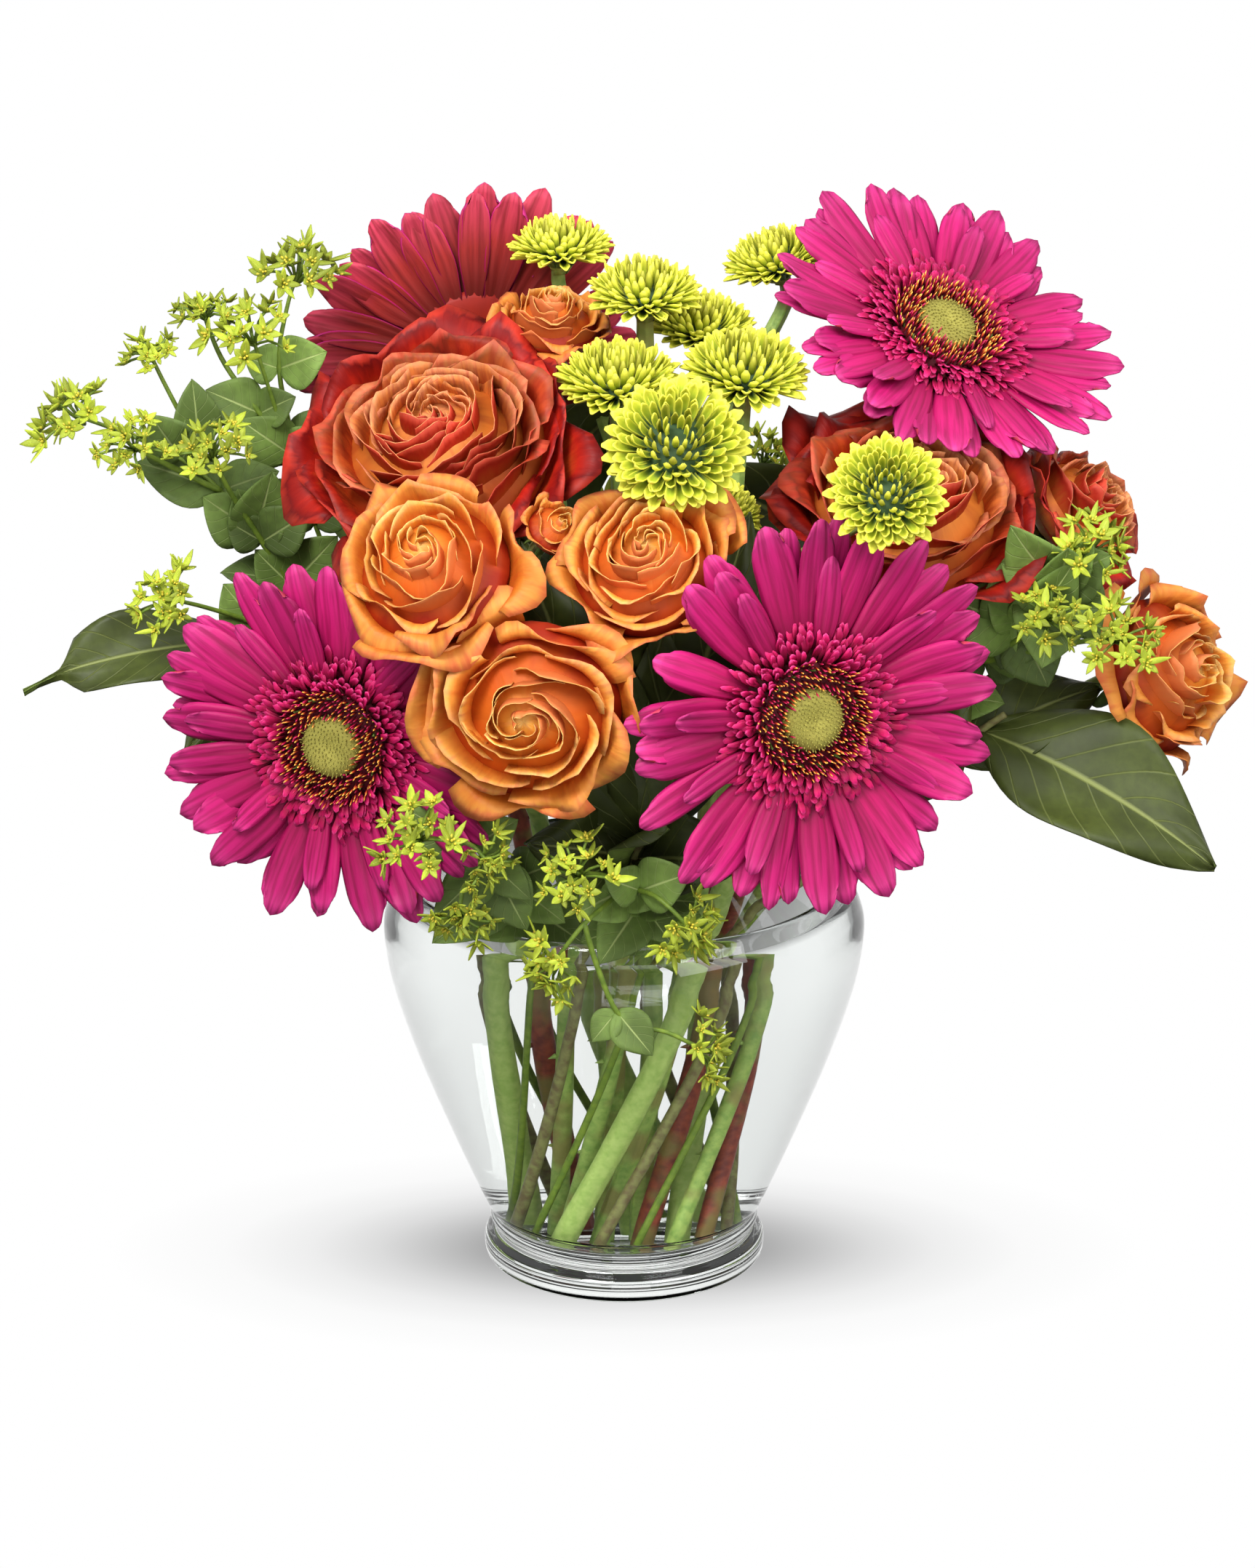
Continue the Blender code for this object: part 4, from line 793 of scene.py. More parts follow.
bed_look = tissue("gerbera_bed", [(0.10, (92, 116, 52)), (0.15, (176, 42, 22)), (0.46, (160, 36, 28)),
                                  (0.54, (84, 6, 24))], streak=(60, 20, 22), across=20.0)
ray_sheet, fringe_sheet, spike_sheet, bed_sheet = sheet(8, 12), sheet(2, 4), sheet(4, 4), sheet(32, 14)
for title, head in GERBERAS.items():
    draw = np.random.default_rng(len(title) * 7 + int(head.at.z))
    place = facing_frame(head.at, head.facing, head.spin)
    name = "gerbera_" + title
    rays = []
    for count, share, half, lift, step in RAY_ROWS:
        for i in range(count):
            angle = 2 * math.pi * (i + step + draw.uniform(-0.22, 0.22)) / count
            reach = head.radius * share * draw.uniform(0.93, 1.04)
            rays.append(shaped(ray_sheet, place, ray_form(
                reach, half * draw.uniform(0.82, 1.10), angle, lift, draw.uniform(-3.2, 2.6),
                draw.uniform(-0.34, 0.34), draw.uniform(-0.06, 0.06)), shade=draw.uniform()))
    hung(name + "_long_rays", "gerbera_pink", name + "_rays", rays, 0.5, ray_pink, ray_under)
    bed = [shaped(bed_sheet, place, round_form(BED), shade=0.3)]
    hung(name + "_bed", "gerbera_pink", name + "_rays", bed, 0, bed_look)
    fringe = []
    for i in range(FRINGE):
        t = i / FRINGE
        fringe.append(shaped(fringe_sheet, place, fringe_form(
            13.5 + 8.5 * t, draw.uniform(4.6, 8.2), draw.uniform(0.58, 0.92),
            i * GOLDEN + draw.uniform(-0.08, 0.08), math.radians(draw.uniform(34, 66) - 36 * t),
            draw.uniform(-0.2, 1.2), draw.uniform(-1.2, 1.2)), shade=draw.uniform()))
    hung(name + "_fringe", "gerbera_pink", name + "_rays", fringe, 0.35, fringe_pink)
    spikes = []
    for i in range(SPIKES):
        t = math.sqrt((i + 0.5) / SPIKES)
        root = EYE_RADIUS * 0.55 + (DISC_RADIUS - EYE_RADIUS * 0.55) * t
        if root < EYE_RADIUS - 0.4:
            continue
        spikes.append(shaped(spike_sheet, place, spike_form(
            root, draw.uniform(3.6, 5.8), draw.uniform(0.30, 0.46), i * GOLDEN,
            math.radians(draw.uniform(-16, 16) + 34 * (t - 0.6)), -0.6), shade=draw.uniform(),
            ring=float(draw.uniform() < TIPPED)))
    hung(name + "_disc", "gerbera_eye", name + "_eye", spikes, 0, disc_red)
    fuzz = [shaped(bed_sheet, place, round_form(EYE_DOME), shade=0.1)]
    for i in range(FUZZ):
        t = math.sqrt((i + 0.5) / FUZZ)
        root = 8.6 * t
        rim = float(np.interp(root, *np.array(EYE_DOME[:1:-1]).T))
        fuzz.append(shaped(spike_sheet, place, spike_form(
            root, draw.uniform(0.8, 1.5), 0.34, i * GOLDEN, math.radians(55 * t ** 3 + draw.uniform(-15, 15)),
            rim - 0.3, 0.7), shade=draw.uniform()))
    hung(name + "_closed_florets", "gerbera_eye", name + "_eye", fuzz, 0, eye_khaki)
removed(ray_sheet, fringe_sheet, spike_sheet)


# The roses. Petals stand in a spiral on the hip, tight and upright in the heart and open with their lips
# turned back at the outside; the large ones are red-orange on a yellow base, the spray ones orange.

ROSE_PETALS = {"large_left": 52, "large_right": 46, "side_right": 30, "spray_left": 29, "spray_middle": 32,
               "spray_front": 30, "spray_top": 30, "spray_right": 28, "spray_bud": 15}
PRESSED = {"spray_front": (0.0, 0.16), "spray_middle": (-0.9, 0.16)}   # bearing and depth of a neighbour
HEART = [(0.0, 0.10), (0.42, 0.10), (0.66, 0.20), (0.72, 0.30), (0.56, 0.48), (0.34, 0.66), (0.14, 0.76),
         (0.0, 0.78)]
LARGE_ROSES = ("large_left", "large_right", "side_right")


def rose_petal_form(size, rim, angle, rise, oval, lip, ruffle, draw):
    """One petal; rim is how far out its edge stands as a share of the rose's radius."""
    bends = np.array([(0.05 + 0.16 * rim, 0.0), (0.14 + 0.70 * rim, 0.06),
                      (0.08 + 0.76 * rim, 0.76 - 0.29 * rim), (rim, rise)])
    half = math.radians(74 - 62 * rim + 28 * rim * rim) * draw.uniform(0.88, 1.12)
    point = draw.uniform(0.1, 1.0) * 0.11 * (rim + 0.1)
    tuck, lean, phase = draw.uniform(0.02, 0.09), draw.uniform(-0.09, 0.09), draw.uniform(0, 6.3)
    shift, shift_way = draw.uniform(0, 0.05) * (1.1 - rim), draw.uniform(0, 6.3)
    fold = draw.uniform(0.0, 0.035) * (0.4 + rim)
    shoulder = draw.uniform(0.08, 0.26) * (0.4 + 0.6 * rim)

    def form(u, v):
        v = v * (1 - shoulder * np.abs(u) ** 3)
        shares = np.stack([(1 - v) ** 3, 3 * v * (1 - v) ** 2, 3 * v * v * (1 - v), v ** 3], axis=1)
        out, height = (shares @ bends).T
        curl = np.clip((v - 0.66) / 0.34, 0, 1) ** 2 * (
            0.35 + 1.1 * np.abs(u) + 0.6 * np.sin(2.6 * u + phase))
        out = out + tuck * u * (0.3 + 0.7 * v) + 0.60 * lip * curl
        cusp = point * np.exp(-(u / 0.15) ** 2) * v ** 6
        out, height = out + 0.5 * cusp, height - lip * curl + cusp + lean * u * v
        creased = fold * np.abs(np.sin(2.3 * u + 0.7 * phase))
        out = out + (ruffle * np.sin(4.1 * u + phase) - creased) * v ** 3
        height = height + ruffle * (np.sin(5.3 * u + 2.1 * phase) + 0.5 * np.sin(9.7 * u + phase)) * v ** 4
        turn = half * (0.55 + 0.45 * ease(v / 0.5)) * -u + angle
        out = out * (1 + 0.24 * (1 - rim) * v * np.cos(2 * (turn - oval)))
        out = out + shift * v * np.cos(turn - shift_way)
        return size * out * np.cos(turn), size * out * np.sin(turn), size * height
    return form


# Colour ramps from root to edge. The dark stops toward the root of RED_HEART, ORANGE_HEART and ORANGE_RIM are
# painted shade of the crevices between petals, and the lighter last stop at the very edge of RED_HEART,
# RED_RIM, RED_UNDER and ORANGE_HEART is a painted rim highlight; the rest is the petals' own colour.
RED_HEART = [(0.38, (180, 52, 12)), (0.66, (218, 130, 48)), (0.86, (224, 142, 70)), (1.0, (230, 158, 104))]
RED_RIM = [(0.22, (210, 120, 36)), (0.46, (204, 78, 26)), (0.74, (186, 32, 16)), (0.93, (108, 8, 10)),
           (1.0, (186, 50, 34))]
RED_UNDER = [(0.15, (150, 130, 50)), (0.55, (180, 92, 32)), (0.88, (158, 32, 18)), (1.0, (190, 70, 48))]
ORANGE_HEART = [(0.48, (150, 34, 4)), (0.72, (206, 100, 20)), (0.88, (226, 156, 58)), (1.0, (236, 196, 112))]
ORANGE_RIM = [(0.32, (172, 62, 8)), (0.64, (206, 112, 30)), (0.90, (220, 144, 62)), (1.0, (222, 124, 72))]
ORANGE_UNDER = [(0.15, (160, 120, 34)), (0.50, (200, 92, 26)), (1.0, (214, 124, 72))]
red_petal = tissue("large_rose_upper", RED_HEART, RED_RIM, streak=(150, 16, 10), amount=0.6, across=22.0,
                   relief=0.9, cloud=0.6)
red_back = tissue("large_rose_under", RED_UNDER, streak=(176, 40, 18), amount=0.4, across=18.0)
orange_petal = tissue("spray_rose_upper", ORANGE_HEART, ORANGE_RIM, streak=(190, 60, 14), amount=0.45,
                      across=20.0, relief=0.7, cloud=0.4)
orange_back = tissue("spray_rose_under", ORANGE_UNDER, streak=(206, 96, 40), amount=0.35, across=14.0)
petal_sheet = sheet(12, 10)
for title, head in ROSES.items():
    large = title in LARGE_ROSES
    slot_name, upper, under = ("rose_red_orange", red_petal, red_back) if large else (
        "rose_orange", orange_petal, orange_back)
    draw = np.random.default_rng(int(head.radius * 10) + len(title))
    place = facing_frame(head.base, head.facing, head.spin)
    name = "rose_" + title
    bearing, taken = PRESSED.get(title, (0.0, 0.0))
    petals = []
    for i in range(ROSE_PETALS[title]):
        rim = 0.07 + 0.93 * (i / (ROSE_PETALS[title] - 1)) ** (1.22 if large else 1.15)
        angle = i * GOLDEN + draw.uniform(-0.35, 0.35)
        rim = rim * (1 - taken * max(math.cos(angle + head.spin - bearing), 0) ** 2)
        sunk = 0.09 * math.exp(-(rim / 0.16) ** 2)
        rise = 0.95 - 0.48 * rim ** 1.6 - sunk + draw.uniform(-0.09, 0.05) * (rim + 0.3)
        lip = (0.18 if large else 0.22) * max(rim - 0.15, 0)
        ruffle = 0.012 + (0.046 if large else 0.034) * rim + 0.12 * max(rim - 0.75, 0)
        petals.append(shaped(petal_sheet, place, rose_petal_form(
            head.radius, min(rim * draw.uniform(0.94, 1.05), 1.0), angle, rise, head.spin + 0.6,
            lip * draw.uniform(0.3, 1.25), ruffle * draw.uniform(0.5, 1.8), draw), shade=draw.uniform(),
            ring=min(max((rim - 0.25) / 0.55, 0.0), 1.0)))
    heart = [(radius * head.radius, height * head.radius) for radius, height in smooth_line(HEART, 2)]
    heart = [shaped(bed_sheet, place, round_form(heart), shade=0.2, ring=0.0)]
    hung(name + "_heart", slot_name, name + "_bloom", heart, 0, upper)
    hung(name + "_petals", slot_name, name + "_bloom", petals, 0.2, upper, under)
removed(petal_sheet)


# The button chrysanthemums. A green dome is covered with spoon-shaped florets in a close spiral, short and
# upright in the middle, long and level round the edge, each with a paler rolled rim. The florets darken
# toward their roots, and a ring of them round the middle is much darker, as painted shade deep in the head.

FLORETS = 172


def floret_form(size, tilt, angle, half, reach):
    """A spoon-shaped floret; tilt is 0 for the middle of the head and 1 for its edge."""
    polar = math.radians(5 + 93 * tilt)
    tip = np.array([math.sin(polar) * reach, 0.20 + 0.66 * math.cos(polar) * reach])
    root = np.array([0.20 * tilt, 0.10])
    knee = np.array([tip[0] * (1.25 - 0.5 * tilt) + 0.06 * (1 - tilt), tip[1] * (0.55 + 0.22 * tilt)])

    def form(u, v):
        spine = np.outer((1 - v) ** 2, root) + np.outer(2 * v * (1 - v), knee) + np.outer(v ** 2, tip)
        spine = spine * size
        way = np.outer(2 * (1 - v), knee - root) + np.outer(2 * v, tip - knee)
        way /= np.linalg.norm(way, axis=1, keepdims=True) + 1e-9
        width = half * (0.40 + 0.60 * ease(v / 0.75)) * (1 - 0.80 * np.clip((v - 0.72) / 0.28, 0, 1) ** 2)
        lift = 0.75 * width * u ** 2
        return around(spine[:, 0] - way[:, 1] * lift, -u * width, spine[:, 1] + way[:, 0] * lift, angle)
    return form


floret_green = material("chrysanthemum_floret", Roughness=0.55, Specular_IOR_Level=0.25)
spot = spot_of(floret_green)
edge = math_of(floret_green, "MULTIPLY", away_of(floret_green, spot), 0.93)
edge = math_of(floret_green, "MAXIMUM", edge, spot["Y"])
# Florets go dark blue-green toward the root: partly their own colour, partly painted shade deep between them.
colour = ramp_of(floret_green, spot["Y"], [(0.30, (58, 94, 56)), (0.54, (164, 180, 50)),
                                           (0.88, (206, 208, 54))])
colour = mixed(floret_green, ranged(floret_green, edge, 0.66, 0.97, 0.0, 1.0), colour, srgb(234, 230, 84))
colour = mixed(floret_green, ranged(floret_green, spot["Y"], 0.18, 0.48, 1.0, 0.0), colour, srgb(46, 80, 54))
toned(floret_green, colour, 0.50, 1.08)
dome_green = material("chrysanthemum_dome", Base_Color=srgb(50, 78, 46), Roughness=0.7)
DOME = [(0, 0), (0.26, 0.0), (0.44, 0.12), (0.48, 0.26), (0.32, 0.42), (0, 0.50)]
floret_sheet = sheet(3, 5)
for title, head in MUMS.items():
    draw = np.random.default_rng(len(title) + int(head.at.z * 3))
    place = facing_frame(head.base, head.facing, head.spin)
    name = "mum_" + title
    florets = []
    for i in range(FLORETS):
        tilt = ((i + 0.5) / FLORETS) ** 0.78
        # Florets in a ring round the middle get a low tone: painted shade round the middle of the head.
        tone = draw.uniform(0.0, 0.3) if 0.09 < tilt < 0.22 else draw.uniform(0.75, 1.0)
        florets.append(shaped(floret_sheet, place, floret_form(
            head.radius, tilt * draw.uniform(0.95, 1.03), i * GOLDEN + draw.uniform(-0.12, 0.12),
            (0.040 + 0.050 * tilt) * head.radius, draw.uniform(0.88, 1.06)), shade=tone))
    hung(name + "_florets", "mum_green", name + "_head", florets, 0.3, floret_green)
    dome = [(radius * head.radius, height * head.radius) for radius, height in smooth_line(DOME, 3)]
    dome = [shaped(bed_sheet, place, round_form(dome))]
    hung(name + "_dome", "mum_green", name + "_head", dome, 0, dome_green)
removed(floret_sheet)


# The stems. Gerbera stems are smooth and hollow, rose stems woody with thorns, chrysanthemum stems ridged;
# all are cut at the foot, and each widens into the green cup, hip or knot that carries its head.

SIDES = 12


def stem_line(points, rooted):
    """A fine line along a route: straight in the vase where it is rooted, and smooth above."""
    points = [np.array(point) for point in points]
    if not rooted:
        return smooth_line(points, 5)
    foot, mouth = points[0], points[1]
    way = (mouth - foot) / np.linalg.norm(mouth - foot)
    ghost = mouth - way * np.linalg.norm(points[2] - mouth)
    low = [foot + (mouth - foot) * i / 10 for i in range(10)]
    return low + smooth_line([ghost] + points[1:], 5)[5:]


def tube_form(line, radii, ridges=0, ridge=0.0):
    """A round stem along a line; it closes on a point at each end, where its radius drops to nothing."""
    line = np.array([line[0]] + list(line) + [line[-1]])
    radii = np.array([0.0] + list(radii) + [0.0])
    ways = np.gradient(line[1:-1], axis=0)
    ways = np.concatenate([ways[:1], ways, ways[-1:]])
    ways /= np.linalg.norm(ways, axis=1, keepdims=True)
    sides, side = [], np.cross((0.3, 0.9, 0.2), ways[0])
    for way in ways:
        side = side - way * (side @ way)
        side = side / np.linalg.norm(side)
        sides.append(side)
    sides = np.array(sides)
    others = np.cross(ways, sides)

    def form(u, v):
        row = np.rint(v * (len(line) - 1)).astype(int)
        radius = radii[row] * (1 + ridge * np.cos(ridges * np.pi * u))
        spots = (line[row] + sides[row] * (radius * np.cos(np.pi * u))[:, None]
                 + others[row] * (radius * np.sin(np.pi * u))[:, None])
        return spots.T
    return form


def tube(line, radii, sides=SIDES, ridges=0, ridge=0.0, **marks):
    """A tube object along a line, with as many rows as the line has points."""
    pattern = sheet(sides, len(line) + 1)
    made = shaped(pattern, Matrix.Identity(4), tube_form(line, radii, ridges, ridge), **marks)
    bpy.data.objects.remove(pattern)
    return made


def scale_form(length, half, angle, base, start, flare):
    """A narrow pointed scale or sepal that rises from a cup."""
    def form(u, v):
        width = half * (1 - v) ** 0.7 * (0.75 + 0.9 * v)
        out = base + flare * v + 0.35 * v * (1 - v) * length * 0.3
        return around(out + 0.12 * width * (1 - u ** 2), -u * width, start + length * v, angle)
    return form


def sepal_form(size, angle, back):
    """A long sepal that is turned back from the hip."""
    def form(u, v):
        width = 0.075 * size * (1 - v) ** 0.8 * (1 + 1.2 * v)
        out = 0.12 * size + 0.30 * size * np.sin(v * 1.5)
        height = -1.2 - back * v ** 1.6 - 0.4 * width * u ** 2
        return around(out, -u * width, height, angle)
    return form


def bark(name, light, dark, blotch=None):
    """Stem skin: two tones in fine streaks, with blotches of a third."""
    made = material(name, Roughness=0.5, Specular_IOR_Level=0.3)
    grain = noise(made, 420.0, 4.0)
    colour = mixed(made, ranged(made, grain, 0.35, 0.65, 0.0, 1.0), srgb(*light), srgb(*dark))
    if blotch:
        colour = mixed(made, ranged(made, noise(made, 70.0), 0.50, 0.62, 0.0, 0.8), colour, srgb(*blotch))
    linked(made, colour, "Base Color")
    bumped(made, grain, 0.35, 0.0006)
    return made


def stems_of(*colours):
    """The stems of these colours, each with its name and its own random draws."""
    for name, stem in STEMS.items():
        if stem.colour in colours:
            yield name, stem, np.random.default_rng(int(stem.bearing * 100) % 977)


gerbera_skin = bark("gerbera_stem", (172, 194, 108), (146, 174, 86))
green_skin = bark("green_stem", (164, 188, 98), (128, 160, 76), blotch=(140, 128, 74))
brown_skin = bark("rose_wood", (150, 74, 56), (112, 52, 44), blotch=(128, 120, 66))
cup_green = tissue("green_cup", [(0.0, (70, 98, 44)), (1.0, (110, 134, 60))], streak=(60, 84, 40), across=4.0)
scale_sheet, thorn_sheet = sheet(2, 6), sheet(6, 5)
for title, cut_stem, draw in stems_of("stem_green", "stem_brown"):
    kind = BLOOMS[cut_stem.shoots[0].head].kind
    skin = {"gerbera": gerbera_skin, "mum": green_skin}.get(
        kind, brown_skin if cut_stem.colour == "stem_brown" else green_skin)
    tubes, leafy = [], []
    for number, shoot in enumerate(cut_stem.shoots):
        route, head = ROUTES[title, number], BLOOMS[shoot.head]
        rooted = shoot.start is None
        line = stem_line(route.points, rooted)
        radius = route.radius
        radii = [radius * (1.0 + 0.03 * math.sin(i * 1.7)) for i in range(len(line))]
        place = facing_frame(head.base, head.facing, head.spin)
        axis, base = np.array(head.facing), np.array(head.base)
        if kind == "gerbera":
            line = line[:-2] + [base + axis * offset for offset in (-8.0, -6.0, -4.0, -2.0, -0.3)]
            radii = radii[:len(line) - 5] + [radius + 0.7, radius + 2.4, 7.4, 9.4, 10.6]
            for row in range(3):
                leafy += [shaped(scale_sheet, place, scale_form(
                    8.0 + 1.5 * row, 1.5, 2 * math.pi * (i + row / 3) / 15, 5.2 + 2.2 * row,
                    -5.6 + 1.6 * row, 4.4), shade=draw.uniform()) for i in range(15)]
        elif kind == "rose":
            hip = 0.12 * head.radius + 0.6
            line = line[:-1] + [base + axis * offset for offset in (-6.5, -4.5, -2.5, -0.4)]
            radii = radii[:len(line) - 4] + [radius, hip, hip * 1.15, hip * 0.95]
            leafy += [shaped(scale_sheet, place, sepal_form(head.radius, 2 * math.pi * i / 5,
                                                            draw.uniform(3, 8)),
                             shade=draw.uniform()) for i in range(5)]
        else:
            line = line[:-1] + [base + axis * offset for offset in (-4.0, -2.0, -0.4)]
            radii = radii[:len(line) - 3] + [radius, 0.16 * head.radius + 0.6, 0.26 * head.radius]
            leafy += [shaped(scale_sheet, place, scale_form(
                0.20 * head.radius, 1.0, 2 * math.pi * i / 12, 0.22 * head.radius, -1.0, 0.16 * head.radius),
                shade=draw.uniform()) for i in range(12)]
        ridges, ridge = {"gerbera": (7, 0.03), "rose": (0, 0.0), "mum": (6, 0.09)}[kind]
        tubes.append(tube(line, radii, SIDES * (2 if ridges else 1), ridges, ridge, shade=0.5))
        if kind == "rose" and rooted:
            for at in range(3, len(line) - 8, 3):
                way = Vector(line[at + 1] - line[at]).normalized()
                facing = way.cross(Vector((math.cos(at * 2.4), math.sin(at * 2.4), 0.1))).normalized()
                thorn = facing_frame(Vector(line[at]) + facing * radius * 0.8,
                                     (facing - way * 0.35).normalized())
                tubes.append(shaped(thorn_sheet, thorn, spike_form(0, 2.8, 1.0, 0, 0, 0, 0.95), shade=0.5))
    hung(title + "_skin", cut_stem.colour, title, tubes, 0, skin)
    hung(title + "_green_cups", cut_stem.colour, title, leafy, 0.4, cup_green)
removed(scale_sheet)


# The thorow-wax. Thin smooth twigs end in loose umbels; each carries small stars of five pointed lime
# bracts round a knot of yellow flowers, and rounded leaves clasp the forks.

STARS = 14


def bract_form(length, half, angle, cup):
    """A pointed bract of a star, broad below and cupped."""
    def form(u, v):
        width = half * np.sin(np.pi * np.clip(0.10 + 0.90 * v, 0, 1) ** 0.85) ** 0.9 + 0.02
        out = length * (0.05 + 0.95 * v)
        height = cup * length * v ** 1.3 + 0.35 * width * np.abs(u) ** 1.5
        return around(out, -u * width, height, angle)
    return form


def leaf_form(root, leaf, arch, slim, drip=0.0, wave=0.3):
    """A pointed oval leaf, arched and folded at its midrib; drip bends down a drawn-out tip."""
    root, reach = np.array(root), np.array(leaf.reach)
    length = np.linalg.norm(reach)
    way = reach / length
    side = np.cross(way, np.array(leaf.face))
    side /= np.linalg.norm(side)
    up = np.cross(side, way)

    def form(u, v):
        width = leaf.width * np.sin(np.pi * np.clip(0.02 + 0.98 * v, 0, 1) ** slim) ** 0.85 + 0.05
        if drip:
            narrow = 0.10 * leaf.width * (1 - v) / 0.28 + 0.05
            past = ease((v - 0.72) / 0.12)
            width = width * (1 - past) + narrow * past
        lift = (0.17 * np.abs(u) ** 1.2 * width - wave * 0.3 * np.exp(-(u / 0.10) ** 2)
                + wave * np.sin(9 * v + 3 * u) * np.abs(u))
        lift = lift + arch * length * v * (1 - v) + drip * length * np.clip(v - 0.72, 0, 1) ** 2
        spots = (root + np.outer(v, reach) + np.outer(u * width, side) + np.outer(lift, up))
        return spots.T
    return form


def blade_look(name, blade, vein, veins, roughness, spread=(0.74, 1.16)):
    """Leaf tissue: a midrib and side veins that run forward from it, paler than the blade."""
    made = material(name, Roughness=roughness, Specular_IOR_Level=0.3)
    spot = spot_of(made)
    away = away_of(made, spot)
    run = math_of(made, "MULTIPLY_ADD", away, -0.28, spot["Y"])
    wave = math_of(made, "ABSOLUTE", math_of(made, "SINE", math_of(made, "MULTIPLY", run, veins * math.pi)))
    lines = ranged(made, wave, 0.0, 0.16, 1.0, 0.0)
    rib = ranged(made, away, 0.015, 0.06, 1.0, 0.0)
    net, patch = noise(made, 420.0, 3.0), noise(made, 55.0)
    darker, darkest = (srgb(*[c * share for c in blade]) for share in (0.70, 0.66))
    base = mixed(made, ranged(made, net, 0.38, 0.66, 0.0, 0.35), srgb(*blade), darkest)
    base = mixed(made, ranged(made, patch, 0.42, 0.62, 0.0, 0.8), base, darker)
    pale = math_of(made, "MAXIMUM", math_of(made, "MULTIPLY", lines, 0.45), rib)
    toned(made, mixed(made, pale, base, srgb(*vein)), *spread)
    sunk = math_of(made, "MAXIMUM", lines, rib)
    bumped(made, math_of(made, "SUBTRACT", math_of(made, "MULTIPLY", net, 0.3), sunk), 0.5, 0.0004)
    return made


LOW_LEAVES = {
    "thorow_wax_front_left": [
        Leaf(0, 2, (-20, -14, -2), 9, (0, -1, 0.6)), Leaf(0, 3, (-22, -12, -14), 9, (0, -1, 0.4)),
        Leaf(0, 2, (16, -14, -6), 9, (0.2, -1, 0.4)), Leaf(0, 4, (10, -6, -18), 8, (0, -1, 0.2)),
        Leaf(0, 5, (-18, -4, 12), 8, (0, -1, 0.2))],
    "thorow_wax_front": [
        Leaf(0, 2, (-20, -12, -2), 9, (0, -1, 0.6)), Leaf(0, 3, (-12, -12, -14), 8, (0, -1, 0.4)),
        Leaf(0, 2, (18, -14, -4), 9, (0, -1, 0.6)), Leaf(1, 1, (14, -8, 8), 8, (0, -1, 0.4))],
    "thorow_wax_right": [
        Leaf(0, 6, (14, -8, 14), 9, (0, -1, 0.3)), Leaf(0, 5, (-6, -8, 18), 9, (0, -1, 0.2)),
        Leaf(0, 7, (8, -4, -16), 9, (0, -1, 0.2)), Leaf(0, 6, (-18, -4, 2), 9, (0, -1, 0.4)),
        Leaf(0, 7, (10, -6, 10), 8, (0, -1, 0.3)), Leaf(0, 8, (-16, -8, 8), 10, (0, -1, 0.2)),
        Leaf(0, 8, (12, -8, -14), 10, (0, -1, 0.3)), Leaf(0, 8, (-4, -10, -22), 11, (0, -1, 0.2)),
        Leaf(0, 7, (-22, -8, 12), 11, (0, -1, 0.3)), Leaf(0, 7, (-4, -10, 26), 11, (0, -1, 0.1)),
        Leaf(0, 8, (15, -6, 10), 9, (0, -1, 0.3)), Leaf(0, 8, (-14, -12, 20), 9, (-0.3, -1, 0.1)),
        Leaf(0, 8, (2, -14, 14), 9, (0.2, -1, 0.2)), Leaf(0, 7, (14, -12, 24), 9, (0.3, -1, 0.1))],
    "thorow_wax_upper_left": [
        Leaf(0, 7, (-14, -6, 12), 8, (0, -1, 0.3)), Leaf(1, 2, (14, -4, 6), 8, (0, -1, 0.3))],
    "thorow_wax_left": [
        Leaf(0, 7, (-14, -6, 12), 9, (0, -1, 0.3)), Leaf(0, 9, (-8, -4, 14), 8, (0, -1, 0.3)),
        Leaf(4, 2, (-10, -4, 14), 9, (0, -1, 0.3))]}
twig_green = bark("thorow_wax_twig", (118, 140, 48), (90, 114, 38))
bract_lime = blade_look("thorow_wax_bract", (182, 198, 56), (200, 208, 104), veins=5.0, roughness=0.55)
wax_leaf = blade_look("thorow_wax_leaf", (116, 142, 66), (158, 174, 106), veins=6.0, roughness=0.6,
                      spread=(0.56, 1.24))
flower_ochre = material("thorow_wax_flower", Base_Color=srgb(204, 186, 54), Roughness=0.6)
bract_sheet, flower_sheet, leaf_sheet = sheet(2, 4), sheet(4, 3), sheet(8, 12)
